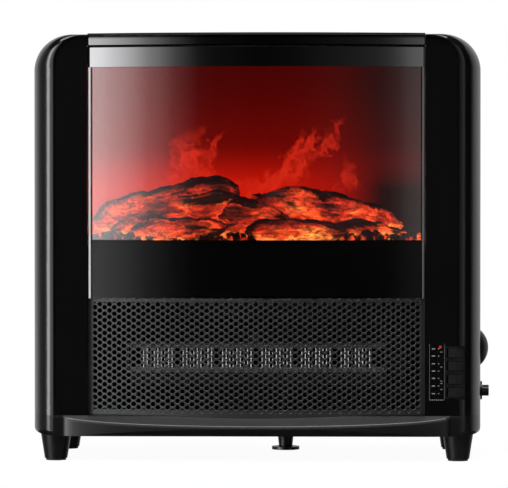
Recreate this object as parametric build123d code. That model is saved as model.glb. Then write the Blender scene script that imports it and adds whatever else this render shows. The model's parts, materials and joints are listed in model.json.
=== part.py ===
from build123d import *
import math
import os

os.makedirs("parts", exist_ok=True)

# Electric fireplace. Millimetres, +Z up, the front looks along -Y, the floor is Z = 0.
# While it is drawn, X = 0 is the middle of the body and Y = 0 the front plane of the side rims.

# Body
BODY_WIDTH = 446.0
BODY_TOP = 423.5
BODY_DEPTH = 182.0
FOOT_HEIGHT = 26.0
BASE_HEIGHT = 20.0
WALL = 3.0
CORNER_RADIUS = 36.0
BASE_EDGE_RADIUS = 6.0
RIM_INSET = 22.5
RIM_TOP_INSET = 2.5
RIM_DEPTH = 50.0
RIM_CORNER_LOSS = 9.0
FACE_RECESS = 2.5
FACE_MARGIN = 1.5
FACE_FOOT_RADIUS = 22.0
OPENING_WIDTH = 334.0
REVEAL_DEPTH = 24.0
GAP = 0.3

# Bowed front
BOW_RADIUS = 941.0
GLASS_PROUD = 6.5
GLASS_THICK = 4.0
GLASS_BOTTOM = 161.5
WINDOW_BOTTOM = 219.4
TRIM_BOTTOM = 390.0
TRIM_HEIGHT = 19.3
STRIP_HEIGHT = 13.0
STRIP_PROUD = 9.0
STRIP_EDGE_RADIUS = 4.0
FILM_THICK = 0.4
FILM_GAP = 0.1
GRILLE_SET_BACK = 2.0
GRILLE_THICK = 1.2
GRILLE_HOLE = 8.0
GRILLE_PITCH = 12.0
GRILLE_MARGIN = 9.0
CLIP_REACH = 7.0
CLIP_HEIGHT = 12.0

# Chin under the grille
CHIN_HALF = 191.0
NOSE_REACH = 17.0
LEDGE_ANGLE = 30.0
UNDERCUT_START = 7.0
UNDERCUT_ANGLE = 38.0
DECK_DEPTH = 15.0

# Feet
FOOT_FROM_SIDE = 23.0
FOOT_FRONT_Y = 26.0
FOOT_SPACING = 134.0
FOOT_TOP_D = 30.0
FOOT_END_D = 22.5
PAD_D = 20.0
PAD_THICK = 2.0
FOOT_SCREW_D = 4.0
FOOT_SCREW_HEAD_D = 8.0
FOOT_SCREW_HEAD = 3.0
FOOT_SCREW_REACH = 2.0

# Rear cover and its screws
COVER_THICK = 1.2
COVER_SLOT = (60.0, 4.0)
COVER_SLOT_PITCH = 9.0
COVER_SLOT_ROWS = 8
COVER_SLOT_X = (-80.0, 0.0, 80.0)
COVER_SLOT_Z = 66.0
COVER_VENT_Z = 372.0
COVER_VENT_ROWS = 4
FILTER_THICK = 2.5
FILTER_MARGIN = 6.0
SCREW_D = 3.5
SCREW_HEAD_D = 7.0
SCREW_HEAD = 2.2
SCREW_REACH = 12.0
POST = 12.0
POST_LENGTH = 30.0
POST_Z = (72.0, 235.0, 375.0)
FIT = 0.05
HOLE_FIT = 0.3

# Controls on the right side
KNOB_Y = 70.0
THERMOSTAT_Z = 110.3
KNOB_D = 37.0
KNOB_DOME = 9.1
SHAFT_D = 6.0
SHAFT_IN_KNOB = 5.0
THERMOSTAT_SIZE = 30.0
THERMOSTAT_DEPTH = 24.0
DIMMER_Z = 67.0
COLLAR_D = 18.5
COLLAR_THICK = 3.0
STUD_D = 11.0
STUD_LENGTH = 6.5
STUD_GROOVES = 16
STUD_GROOVE_R = 0.6
DIMMER_BUSH_D = 8.0
DIMMER_D = 17.0
DIMMER_DEPTH = 12.0
KEY_COUNT = 4
KEY_PITCH = 13.0
KEY_MIDDLE_Z = 88.6
KEY_FROM_SIDE = 27.2
KEY_LENGTH = 14.4
KEY_WIDTH = 8.8
KEY_PROUD = 1.8
KEY_PIVOT_DEPTH = 4.6
KEY_PIN_D = 2.4
KEY_PIN_REACH = 1.2
KEY_TILT = 7.0
PLATE_BORDER = 1.6
PLATE_DEPTH = 9.5
KEY_PLAY = 1.0
KEY_SIDE_PLAY = 0.3
SWITCH_DEPTH = 16.0
LENS_FROM_SIDE = 41.5
LENS_Z = 113.8
LENS_D = 3.0
LENS_LENGTH = 9.0

# Fire effect
SHELF_Z = 208.0
SHEET = 1.2
RAIL = 12.0
RAIL_HEIGHT = 4.0
LINER_HALF = 178.0
LINER_FRONT = 26.0
LINER_BACK = 150.0
LINER_TOP = 400.0
SCREEN_Y = 98.0
SCREEN_THICK = 2.0
BED_FRONT = 29.0
BED_BACK = 94.0
BED_HALF = 172.0
BED_HEIGHT = 9.0
COAL_COUNT = 13
COAL_R = 9.0
LOG_SEAT = 0.3
ROTOR_Y = 124.0
ROTOR_Z = 244.0
ROTOR_SHAFT_D = 5.0
ROTOR_FLAGS = 12
FLAG_REACH = 17.0
FLAG_WIDTH = 18.0
FLAG_THICK = 0.8
FLAG_HUB_D = 8.0
ROTOR_MOTOR_D = 46.0
ROTOR_MOTOR_DEPTH = 18.0
BUSH_WALL = 3.0
BUSH_FLANGE = 2.0
LIGHT_BOARD = (300.0, 18.0, 1.6)
LIGHT_COUNT = 9
LIGHT_D = 6.0
LIGHT_HEIGHT = 4.0

# Heater
DUCT_HALF = 127.0
DUCT_FRONT = 18.0
DUCT_LENGTH = 44.0
DUCT_OPENING = 27.0
DUCT_Z = 102.0
FIN_COUNT = 45
FIN_THICK = 0.6
FIN_DEPTH = 14.0
FIN_SET_BACK = 4.0
BAR_HEIGHT = 4.0
WHEEL_R = 24.0
WHEEL_BLADES = 24
WHEEL_BLADE_DEPTH = 6.0
WHEEL_BLADE_THICK = 0.9
WHEEL_DISC = 1.6
WHEEL_SPACES = 3
WHEEL_Y = 100.0
BLOWER_SHAFT_D = 6.0
WHEEL_END_GAP = 4.0
GUIDE_GAP = 4.0
HOUSING_LENGTH = 76.0
HOUSING_TOP_MARGIN = 8.0
MOTOR_SIZE = 44.0
MOTOR_STACK = 22.0
MOTOR_COIL = (26.0, 18.0, 20.0)
MOTOR_TAIL = 6.0
CUTOUT_D = 16.0
CUTOUT_HEIGHT = 8.0
BOARD = (70.0, 50.0, 1.6)
BOARD_FROM_SIDE = 53.0
BOARD_Y = 120.0
BOARD_POST = 6.0
BOARD_POST_D = 6.0
RELAY = 16.0

# Tip-over switch and cord gland
TIP_X = 27.0
TIP_Y = 152.0
TIP_FLANGE_D = 28.6
TIP_FLANGE = 3.0
TIP_FLOOR_GAP = 0.2
TIP_NECK_D = (14.0, 17.0)
TIP_NECK = 15.0
TIP_STEM_D = 8.0
TIP_GUIDE = 14.0
TIP_GUIDE_WALL = 3.0
TIP_COLLAR_D = 13.0
TIP_COLLAR = 2.0
TIP_DROP = 8.0
TIP_STEM_ABOVE = 10.0
TIP_SWITCH = (28.0, 12.0, 18.0)
TIP_SWITCH_GAP = 4.0
BRACKET = 1.5
GLAND_FROM_SIDE = 63.0
GLAND_Z = 60.0
GLAND_D = 12.0
GLAND_FLANGE_D = 18.0
GLAND_REACH = 8.0

# Sizes that follow from those above
HALF_WIDTH = BODY_WIDTH / 2
HALF_OPENING = OPENING_WIDTH / 2
FOOT_X = HALF_WIDTH - FOOT_FROM_SIDE
KEY_MIDDLE_X = HALF_WIDTH - KEY_FROM_SIDE
LENS_X = HALF_WIDTH - LENS_FROM_SIDE
BOARD_X = BOARD_FROM_SIDE - HALF_WIDTH
GLAND_X = GLAND_FROM_SIDE - HALF_WIDTH
SEAM_Z = FOOT_HEIGHT + BASE_HEIGHT
FLOOR_Z = FOOT_HEIGHT + WALL
FRONT_WALL = FACE_RECESS + WALL
RIM_HALF = HALF_WIDTH - RIM_INSET
STRIP_BOTTOM = BODY_TOP - STRIP_HEIGHT
SIDE_INSIDE = HALF_WIDTH - WALL
COVER_FRONT = BODY_DEPTH - COVER_THICK
FRONT_HALF = HALF_OPENING - GAP
GLASS_BACK = -GLASS_PROUD + GLASS_THICK
SHELF_TOP = SHELF_Z + SHEET
DUCT_LOW = DUCT_Z - DUCT_OPENING / 2
DUCT_HIGH = DUCT_Z + DUCT_OPENING / 2
DUCT_BACK = DUCT_FRONT + DUCT_LENGTH
STUD_END = HALF_WIDTH + COLLAR_THICK + GAP + STUD_LENGTH
DOME_END = HALF_WIDTH + GAP + KNOB_DOME
ORIGIN_X = (max(STUD_END, DOME_END) - HALF_WIDTH) / 2
ORIGIN_Y = (BODY_DEPTH + GLAND_REACH - NOSE_REACH) / 2


# Helpers
def block(x0, x1, y0, y1, z0, z1):
    return Pos((x0 + x1) / 2, (y0 + y1) / 2, (z0 + z1) / 2) * Box(abs(x1 - x0), abs(y1 - y0), abs(z1 - z0))


def rod_x(diameter, x0, x1, y, z):
    return Pos((x0 + x1) / 2, y, z) * Rot(0, 90, 0) * Cylinder(diameter / 2, abs(x1 - x0))


def rod_y(diameter, x, y0, y1, z):
    return Pos(x, (y0 + y1) / 2, z) * Rot(90, 0, 0) * Cylinder(diameter / 2, abs(y1 - y0))


def rod_z(diameter, x, y, z0, z1):
    return Pos(x, y, (z0 + z1) / 2) * Cylinder(diameter / 2, abs(z1 - z0))


def save(name, *solids):
    shape = solids[0] if len(solids) == 1 else Compound(children=list(solids))
    export_step(Pos(-ORIGIN_X, -ORIGIN_Y, 0) * shape, "parts/" + name + ".step")


def bow(x, apex):
    return apex + BOW_RADIUS - math.sqrt(BOW_RADIUS ** 2 - x ** 2)


def bowed_sheet(apex, thick, half, z0, z1):
    end = bow(half, apex)
    front = ThreePointArc((-half, end), (0, apex), (half, end))
    right = Line((half, end), (half, end + thick))
    back = ThreePointArc((half, end + thick), (0, apex + thick), (-half, end + thick))
    left = Line((-half, end + thick), (-half, end))
    face = make_face([front, right, back, left])
    return extrude(Pos(0, 0, z0) * face, amount=z1 - z0, dir=(0, 0, 1))


# Casing: rounded outlines stacked from the rim plane to the rear
def outline(y, half, bottom, top, corner, edge):
    sketch = Rectangle(2 * half, top - bottom, align=(Align.CENTER, Align.MIN))
    upper = sketch.vertices().group_by(Axis.Y)[-1]
    sketch = fillet(upper, corner)
    lower = sketch.vertices().group_by(Axis.Y)[0]
    sketch = fillet(lower, edge)
    front = Plane((0, y, 0), x_dir=(1, 0, 0), z_dir=(0, -1, 0))
    return front * Pos(0, bottom) * sketch


def casing(inset, front, rear):
    sections = []
    for angle in (0, 20, 42, 66, 90):
        lost = 1 - math.sin(math.radians(angle))
        y = front + (RIM_DEPTH - front) * (1 - math.cos(math.radians(angle)))
        half = HALF_WIDTH - inset - RIM_INSET * lost
        top = BODY_TOP - inset - RIM_TOP_INSET * lost
        corner = CORNER_RADIUS - inset - RIM_CORNER_LOSS * lost
        sections.append(outline(y, half, FOOT_HEIGHT + inset, top, corner, BASE_EDGE_RADIUS - inset / 2))
    rounded = loft(sections)
    straight = extrude(sections[-1], amount=rear - RIM_DEPTH, dir=(0, 1, 0))
    return rounded + straight


body_outside = casing(0, 0, BODY_DEPTH)
body_inside = casing(WALL, FRONT_WALL, BODY_DEPTH + WALL)
body_shell = body_outside - body_inside


def face_pocket():
    half = RIM_HALF - FACE_MARGIN
    top = BODY_TOP - RIM_TOP_INSET - FACE_MARGIN
    corner = CORNER_RADIUS - RIM_CORNER_LOSS - FACE_MARGIN
    shape = outline(0, half, SEAM_Z, top, corner, FACE_FOOT_RADIUS)
    return extrude(shape, amount=FACE_RECESS, dir=(0, 1, 0))


# Side panels
pocket = face_pocket()


def side_panel(side):
    keep = block(side * HALF_OPENING, side * BODY_WIDTH, -WALL, BODY_DEPTH, SEAM_Z, BODY_TOP + WALL)
    panel = (body_shell & keep) - pocket
    inner = side * (HALF_OPENING + WALL)
    panel += block(side * HALF_OPENING, inner, FACE_RECESS, REVEAL_DEPTH, SEAM_Z, STRIP_BOTTOM)
    wall = side * (SIDE_INSIDE + WALL / 2)
    rail = side * (SIDE_INSIDE - RAIL)
    panel += block(rail, wall, RIM_DEPTH, COVER_FRONT, SHELF_Z - RAIL_HEIGHT, SHELF_Z)
    for z in POST_Z:
        post = side * (SIDE_INSIDE - POST)
        panel += block(post, wall, COVER_FRONT - POST_LENGTH, COVER_FRONT, z - POST / 2, z + POST / 2)
        x = side * (SIDE_INSIDE - POST / 2)
        panel -= rod_y(SCREW_D + 2 * FIT, x, COVER_FRONT - SCREW_REACH - FIT, COVER_FRONT, z)
    return panel


save("left_side_panel", side_panel(-1))

plate_half_x = KEY_LENGTH / 2 + KEY_PLAY + PLATE_BORDER
plate_half_z = (KEY_COUNT - 1) * KEY_PITCH / 2 + KEY_WIDTH / 2 + KEY_SIDE_PLAY + PLATE_BORDER
plate_low = KEY_MIDDLE_Z - plate_half_z
plate_high = KEY_MIDDLE_Z + plate_half_z
right_panel = side_panel(1)
aperture_half = plate_half_x + GAP
right_panel -= block(KEY_MIDDLE_X - aperture_half, KEY_MIDDLE_X + aperture_half, -WALL, RIM_DEPTH,
                     plate_low - GAP, plate_high + GAP)
right_panel -= rod_x(SHAFT_D + 2 * HOLE_FIT, SIDE_INSIDE - WALL, HALF_WIDTH + WALL, KNOB_Y, THERMOSTAT_Z)
right_panel -= rod_x(DIMMER_BUSH_D + 2 * HOLE_FIT, SIDE_INSIDE - WALL, HALF_WIDTH + WALL, KNOB_Y, DIMMER_Z)
right_panel -= rod_y(LENS_D + 2 * FIT, LENS_X, 0, RIM_DEPTH, LENS_Z)
save("right_side_panel", right_panel)


# Top panel: bowed strip in front, hollow below
def top_plan(inset):
    apex = -STRIP_PROUD + inset
    half = FRONT_HALF - inset
    end = bow(half, apex)
    rear = COVER_FRONT - inset
    front = ThreePointArc((-half, end), (0, apex), (half, end))
    sides = Polyline((half, end), (half, rear), (-half, rear), (-half, end))
    return make_face([front, sides])


top_panel = extrude(Pos(0, 0, STRIP_BOTTOM) * top_plan(0), amount=STRIP_HEIGHT, dir=(0, 0, 1))
front_edge = top_panel.edges().filter_by(GeomType.CIRCLE).sort_by(Axis.Z)[-1]
top_panel = fillet(front_edge, STRIP_EDGE_RADIUS)
top_panel -= extrude(Pos(0, 0, STRIP_BOTTOM - WALL) * top_plan(WALL), amount=STRIP_HEIGHT, dir=(0, 0, 1))
save("top_panel", top_panel)


# Base tray with its chin: an elliptical nose between a sloping ledge and an undercut
def chin(inset, back):
    half = CHIN_HALF - inset
    reach = NOSE_REACH - inset
    low = FOOT_HEIGHT + inset
    high = SEAM_Z - inset
    front_half = Rectangle(2 * half, reach, align=(Align.CENTER, Align.MAX))
    back_strip = Rectangle(2 * half, back, align=(Align.CENTER, Align.MIN))
    plan = (Ellipse(half, reach) & front_half) + back_strip
    nose = extrude(Pos(0, 0, low) * plan, amount=high - low, dir=(0, 0, 1))
    far = 2 * NOSE_REACH
    ledge_drop = far * math.tan(math.radians(LEDGE_ANGLE))
    ledge = Polyline((0, high), (-far, high - ledge_drop), (-far, high + far), (0, high + far), close=True)
    start = -UNDERCUT_START + inset
    undercut_rise = far * math.tan(math.radians(UNDERCUT_ANGLE))
    undercut = Polyline((start, low), (start, low - far), (start - far, low - far), (start - far, low + undercut_rise),
                        close=True)
    for profile in (ledge, undercut):
        nose -= extrude(Plane.YZ * make_face(profile), amount=BODY_WIDTH, both=True)
    return nose


base_tray = (body_outside & block(-BODY_WIDTH, BODY_WIDTH, -WALL, BODY_DEPTH, 0, SEAM_Z)) + chin(0, WALL)
base_tray -= body_inside
base_tray -= chin(WALL, FRONT_WALL + WALL)
deck_half = HALF_OPENING + WALL
base_tray += block(-deck_half, deck_half, FRONT_WALL - FIT, DECK_DEPTH, SEAM_Z - WALL, SEAM_Z)
foot_places = []
for foot_y in (FOOT_FRONT_Y, FOOT_FRONT_Y + FOOT_SPACING):
    for foot_x in (-FOOT_X, FOOT_X):
        foot_places.append((foot_x, foot_y))
for foot_x, foot_y in foot_places:
    base_tray -= rod_z(FOOT_SCREW_D + 2 * HOLE_FIT, foot_x, foot_y, 0, FLOOR_Z + WALL)
guide_top = FLOOR_Z + TIP_GUIDE
guide_d = TIP_STEM_D + 2 * TIP_GUIDE_WALL
base_tray += rod_z(guide_d, TIP_X, TIP_Y, FLOOR_Z - WALL / 2, guide_top)
base_tray -= rod_z(TIP_STEM_D + 2 * FIT, TIP_X, TIP_Y, 0, BODY_TOP)
board_post_places = []
for dx in (-1, 1):
    for dy in (-1, 1):
        place = (BOARD_X + dx * (BOARD[0] / 2 - BOARD_POST_D), BOARD_Y + dy * (BOARD[1] / 2 - BOARD_POST_D))
        board_post_places.append(place)
for post_x, post_y in board_post_places:
    base_tray += rod_z(BOARD_POST_D, post_x, post_y, FLOOR_Z - WALL / 2, FLOOR_Z + BOARD_POST)
save("base_tray", base_tray)

# Feet with pads and screws
names = ("foot_front_left", "foot_front_right", "foot_rear_left", "foot_rear_right")
pads = []
foot_screws = []
for name, (foot_x, foot_y) in zip(names, foot_places):
    height = FOOT_HEIGHT - PAD_THICK
    foot = Pos(foot_x, foot_y, PAD_THICK + height / 2) * Cone(FOOT_END_D / 2, FOOT_TOP_D / 2, height)
    head_top = PAD_THICK + FOOT_SCREW_HEAD
    foot -= rod_z(FOOT_SCREW_HEAD_D + 2 * FIT, foot_x, foot_y, PAD_THICK, head_top)
    foot -= rod_z(FOOT_SCREW_D + 2 * FIT, foot_x, foot_y, 0, FOOT_HEIGHT + WALL)
    save(name, foot)
    pads.append(rod_z(PAD_D, foot_x, foot_y, 0, PAD_THICK))
    screw = rod_z(FOOT_SCREW_HEAD_D, foot_x, foot_y, PAD_THICK, head_top)
    screw += rod_z(FOOT_SCREW_D, foot_x, foot_y, head_top - FIT, FLOOR_Z + FOOT_SCREW_REACH)
    foot_screws.append(screw)
save("foot_pads", *pads)
save("foot_screws", *foot_screws)

# Rear cover, its screws and the cord gland
cover_inset = WALL + GAP
cover = extrude(outline(COVER_FRONT, HALF_WIDTH - cover_inset, FOOT_HEIGHT + cover_inset, BODY_TOP - cover_inset,
                        CORNER_RADIUS - cover_inset, BASE_EDGE_RADIUS - cover_inset / 2),
                amount=COVER_THICK, dir=(0, 1, 0))
slots = []
for slot_x in COVER_SLOT_X:
    for row in range(COVER_SLOT_ROWS):
        slots.append((slot_x, COVER_SLOT_Z + row * COVER_SLOT_PITCH))
    for row in range(COVER_VENT_ROWS):
        slots.append((slot_x, COVER_VENT_Z + row * COVER_SLOT_PITCH))
for slot_x, slot_z in slots:
    cover -= block(slot_x - COVER_SLOT[0] / 2, slot_x + COVER_SLOT[0] / 2, COVER_FRONT - WALL, BODY_DEPTH + WALL,
                   slot_z - COVER_SLOT[1] / 2, slot_z + COVER_SLOT[1] / 2)
case_screws = []
for side in (-1, 1):
    for z in POST_Z:
        x = side * (SIDE_INSIDE - POST / 2)
        cover -= rod_y(SCREW_D + 2 * HOLE_FIT, x, COVER_FRONT - WALL, BODY_DEPTH + WALL, z)
        screw = rod_y(SCREW_D, x, COVER_FRONT - SCREW_REACH, BODY_DEPTH + FIT, z)
        screw += rod_y(SCREW_HEAD_D, x, BODY_DEPTH, BODY_DEPTH + SCREW_HEAD, z)
        case_screws.append(screw)
cover -= rod_y(GLAND_D + 2 * FIT, GLAND_X, COVER_FRONT - WALL, BODY_DEPTH + WALL, GLAND_Z)
save("rear_cover", cover)
filter_half = max(COVER_SLOT_X) + COVER_SLOT[0] / 2 + FILTER_MARGIN
filter_low = COVER_SLOT_Z - FILTER_MARGIN
filter_high = COVER_SLOT_Z + (COVER_SLOT_ROWS - 1) * COVER_SLOT_PITCH + FILTER_MARGIN
filter_back = COVER_FRONT - FIT
save("intake_filter", block(-filter_half, filter_half, filter_back - FILTER_THICK, filter_back, filter_low, filter_high))
save("case_screws", *case_screws)
gland = rod_y(GLAND_D, GLAND_X, COVER_FRONT - WALL, BODY_DEPTH + FIT, GLAND_Z)
gland += Pos(GLAND_X, BODY_DEPTH + GLAND_REACH / 2, GLAND_Z) * Rot(-90, 0, 0) * Cone(
    GLAND_FLANGE_D / 2, GLAND_D / 2, GLAND_REACH)
gland -= rod_y(GLAND_D / 2, GLAND_X, COVER_FRONT - 2 * WALL, BODY_DEPTH + 2 * GLAND_REACH, GLAND_Z)
save("cord_gland", gland)

# Bowed front: glass, film, mask, trim and grille
save("front_glass", bowed_sheet(-GLASS_PROUD, GLASS_THICK, FRONT_HALF, GLASS_BOTTOM, TRIM_BOTTOM - GAP))
film_apex = GLASS_BACK + FILM_GAP
save("tint_film", bowed_sheet(film_apex, FILM_THICK, FRONT_HALF, WINDOW_BOTTOM, TRIM_BOTTOM - GAP))
save("lower_mask", bowed_sheet(film_apex, FILM_THICK, FRONT_HALF, GLASS_BOTTOM, WINDOW_BOTTOM - GAP))
save("upper_trim", bowed_sheet(-GLASS_PROUD, GLASS_THICK, FRONT_HALF, TRIM_BOTTOM, TRIM_BOTTOM + TRIM_HEIGHT))

grille_apex = -GLASS_PROUD + GRILLE_SET_BACK
grille_top = GLASS_BOTTOM - GAP
grille = bowed_sheet(grille_apex, GRILLE_THICK, FRONT_HALF, FLOOR_Z, grille_top)
seat = SEAM_Z + GAP
seat_drop = NOSE_REACH * math.tan(math.radians(LEDGE_ANGLE))
seat_profile = Polyline((0, seat), (REVEAL_DEPTH, seat), (REVEAL_DEPTH, 0), (-NOSE_REACH, 0),
                        (-NOSE_REACH, seat - seat_drop), close=True)
grille -= extrude(Plane.YZ * make_face(seat_profile), amount=BODY_WIDTH, both=True)
row_step = GRILLE_PITCH * math.sqrt(3) / 2
hole_rows = int((grille_top - SEAM_Z - 2 * GRILLE_MARGIN) / row_step) + 1
hole_columns = int((2 * FRONT_HALF - 2 * GRILLE_MARGIN - GRILLE_PITCH / 2) / GRILLE_PITCH) + 1
first_x = -(hole_columns - 0.5) * GRILLE_PITCH / 2 + GRILLE_PITCH / 4
first_z = (SEAM_Z + grille_top) / 2 - (hole_rows - 1) * row_step / 2
holes = []
for row in range(hole_rows):
    for column in range(hole_columns):
        hole_x = first_x + column * GRILLE_PITCH + (row % 2 - 0.5) * GRILLE_PITCH / 2
        holes.append(Pos(hole_x, first_z + row * row_step) * Circle(GRILLE_HOLE / 2))
hole_face = Plane((0, grille_apex - WALL, 0), x_dir=(1, 0, 0), z_dir=(0, -1, 0)) * Sketch(children=holes)
grille -= extrude(hole_face, amount=2 * REVEAL_DEPTH, dir=(0, 1, 0))
save("outlet_grille", grille)

clips = []
for side in (-1, 1):
    sheets = ((SEAM_Z + CLIP_HEIGHT, grille_apex + GRILLE_THICK),
              ((GLASS_BOTTOM + WINDOW_BOTTOM) / 2, film_apex + FILM_THICK),
              (TRIM_BOTTOM + TRIM_HEIGHT / 2, GLASS_BACK))
    for clip_z, sheet_back in sheets:
        clip_y = bow(FRONT_HALF, sheet_back) + GAP
        clips.append(block(side * (HALF_OPENING - CLIP_REACH), side * HALF_OPENING, clip_y, clip_y + 2 * SHEET,
                           clip_z - CLIP_HEIGHT / 2, clip_z + CLIP_HEIGHT / 2))
save("front_clips", *clips)

# Thermostat: domed knob, shaft, body
dome_r = (KNOB_D ** 2 / 4 + KNOB_DOME ** 2) / (2 * KNOB_DOME)
knob_base = HALF_WIDTH + GAP
dome_angle = math.asin(KNOB_D / 2 / dome_r) / 2
dome_side = (dome_r * math.sin(dome_angle), KNOB_DOME - dome_r + dome_r * math.cos(dome_angle))
dome_lines = [
    Line((0, 0), (KNOB_D / 2, 0)),
    ThreePointArc((KNOB_D / 2, 0), dome_side, (0, KNOB_DOME)),
    Line((0, KNOB_DOME), (0, 0)),
]
knob = Pos(knob_base, KNOB_Y, THERMOSTAT_Z) * Rot(0, 0, -90) * revolve(make_face(dome_lines), Axis.Y)
knob -= rod_x(SHAFT_D + 2 * FIT, knob_base - WALL, knob_base + SHAFT_IN_KNOB, KNOB_Y, THERMOSTAT_Z)
save("thermostat_knob", knob)
body_face = SIDE_INSIDE - GAP
body_back = body_face - THERMOSTAT_DEPTH
save("thermostat_shaft", rod_x(SHAFT_D, body_face - THERMOSTAT_DEPTH / 2, knob_base + SHAFT_IN_KNOB - FIT, KNOB_Y,
                               THERMOSTAT_Z))
half_size = THERMOSTAT_SIZE / 2
thermostat = block(body_back, body_face, KNOB_Y - half_size, KNOB_Y + half_size, THERMOSTAT_Z - half_size,
                   THERMOSTAT_Z + half_size)
thermostat -= rod_x(SHAFT_D + 2 * FIT, body_face - THERMOSTAT_DEPTH / 2 - FIT, HALF_WIDTH, KNOB_Y, THERMOSTAT_Z)
save("thermostat_body", thermostat)

# Dimmer: collar on the panel, knurled stud on a stem, body
stud_base = HALF_WIDTH + COLLAR_THICK + GAP
stem_d = SHAFT_D - 2.0
collar = rod_x(COLLAR_D, HALF_WIDTH, HALF_WIDTH + COLLAR_THICK, KNOB_Y, DIMMER_Z)
collar -= rod_x(DIMMER_BUSH_D + 2 * FIT, HALF_WIDTH - WALL, HALF_WIDTH + 2 * COLLAR_THICK, KNOB_Y, DIMMER_Z)
save("dimmer_collar", collar)
stud = rod_x(STUD_D, stud_base, STUD_END, KNOB_Y, DIMMER_Z)
for index in range(STUD_GROOVES):
    angle = 2 * math.pi * index / STUD_GROOVES
    groove_y = KNOB_Y + STUD_D / 2 * math.cos(angle)
    groove_z = DIMMER_Z + STUD_D / 2 * math.sin(angle)
    stud -= rod_x(2 * STUD_GROOVE_R, stud_base + STUD_GROOVE_R, STUD_END + WALL, groove_y, groove_z)
stud += rod_x(stem_d, body_face - DIMMER_DEPTH / 2, stud_base + FIT, KNOB_Y, DIMMER_Z)
save("dimmer_knob", stud)
dimmer = rod_x(DIMMER_D, body_face - DIMMER_DEPTH, body_face, KNOB_Y, DIMMER_Z)
dimmer += rod_x(DIMMER_BUSH_D, body_face - FIT, HALF_WIDTH + COLLAR_THICK, KNOB_Y, DIMMER_Z)
dimmer -= rod_x(stem_d + 2 * FIT, body_face - DIMMER_DEPTH / 2 - FIT, STUD_END, KNOB_Y, DIMMER_Z)
save("dimmer_body", dimmer)

# Rocker keys in their plate, with the switch bodies behind
plate_front = FACE_RECESS
plate_back = plate_front + PLATE_DEPTH
pivot_y = plate_front + KEY_PIVOT_DEPTH
key_places = [KEY_MIDDLE_Z + ((KEY_COUNT - 1) / 2 - index) * KEY_PITCH for index in range(KEY_COUNT)]
plate = block(KEY_MIDDLE_X - plate_half_x, KEY_MIDDLE_X + plate_half_x, plate_front, plate_back, plate_low, plate_high)
switch_bodies = []
for index, key_z in enumerate(key_places):
    window_x = KEY_LENGTH / 2 + KEY_PLAY
    window_z = KEY_WIDTH / 2 + KEY_SIDE_PLAY
    plate -= block(KEY_MIDDLE_X - window_x, KEY_MIDDLE_X + window_x, 0, plate_back + WALL, key_z - window_z,
                   key_z + window_z)
    tip = KEY_LENGTH / 2
    crest = plate_front - KEY_PROUD
    valley = crest + tip * math.tan(math.radians(KEY_TILT))
    heel = pivot_y + KEY_PIN_D
    profile = Polyline((-tip, crest), (0, valley), (tip, crest), (tip, pivot_y), (KEY_PIN_D, heel),
                       (-KEY_PIN_D, heel), (-tip, pivot_y), close=True)
    key = extrude(Pos(0, -pivot_y, -KEY_WIDTH / 2) * make_face(profile), amount=KEY_WIDTH, dir=(0, 0, 1))
    pin_half = KEY_WIDTH / 2 + KEY_PIN_REACH
    key += rod_z(KEY_PIN_D, 0, 0, -pin_half, pin_half)
    save("rocker_key_" + str(index + 1), Pos(KEY_MIDDLE_X, pivot_y, key_z) * Rot(0, 0, KEY_TILT) * key)
    switch_bodies.append(block(KEY_MIDDLE_X - window_x, KEY_MIDDLE_X + window_x, plate_back, plate_back + SWITCH_DEPTH,
                               key_z - window_z, key_z + window_z))
plate -= rod_z(KEY_PIN_D + 2 * FIT, KEY_MIDDLE_X, pivot_y, key_places[-1] - pin_half - FIT,
               key_places[0] + pin_half + FIT)
save("switch_plate", plate)
save("rocker_bodies", *switch_bodies)
save("indicator_lens", rod_y(LENS_D, LENS_X, FACE_RECESS - FIT, FACE_RECESS + LENS_LENGTH, LENS_Z))

# Firebox: shelf on its rails, liner, back, flame screen
shelf_half = SIDE_INSIDE - GAP
save("divider_shelf", block(-shelf_half, shelf_half, RIM_DEPTH, COVER_FRONT - GAP, SHELF_Z, SHELF_TOP)
     + block(-LINER_HALF, LINER_HALF, LINER_FRONT, RIM_DEPTH + FIT, SHELF_Z, SHELF_TOP))
liner = block(-LINER_HALF, LINER_HALF, LINER_FRONT, LINER_BACK, SHELF_TOP, LINER_TOP)
liner -= block(-LINER_HALF + SHEET, LINER_HALF - SHEET, LINER_FRONT - WALL, LINER_BACK + WALL, SHELF_Z, LINER_TOP - SHEET)
bush_d = ROTOR_SHAFT_D + 2 * BUSH_WALL
liner -= rod_x(bush_d + 2 * FIT, -LINER_HALF - WALL, LINER_HALF + WALL, ROTOR_Y, ROTOR_Z)
save("firebox_liner", liner)
save("firebox_back", block(-LINER_HALF, LINER_HALF, LINER_BACK, LINER_BACK + SHEET, SHELF_TOP, LINER_TOP))
inside_half = LINER_HALF - SHEET - GAP
save("flame_screen", block(-inside_half, inside_half, SCREEN_Y, SCREEN_Y + SCREEN_THICK, SHELF_TOP,
                           LINER_TOP - SHEET - GAP))


# Logs: round sections of changing size along a leaning line
def log(start, end, radii, grow):
    line = Vector(*end) - Vector(*start)
    sections = []
    for index, radius in enumerate(radii):
        share = index / (len(radii) - 1)
        middle = Vector(*start) + line * share
        sections.append(Plane(middle, z_dir=line.normalized()) * Circle(radius + grow))
    return loft(sections)


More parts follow.
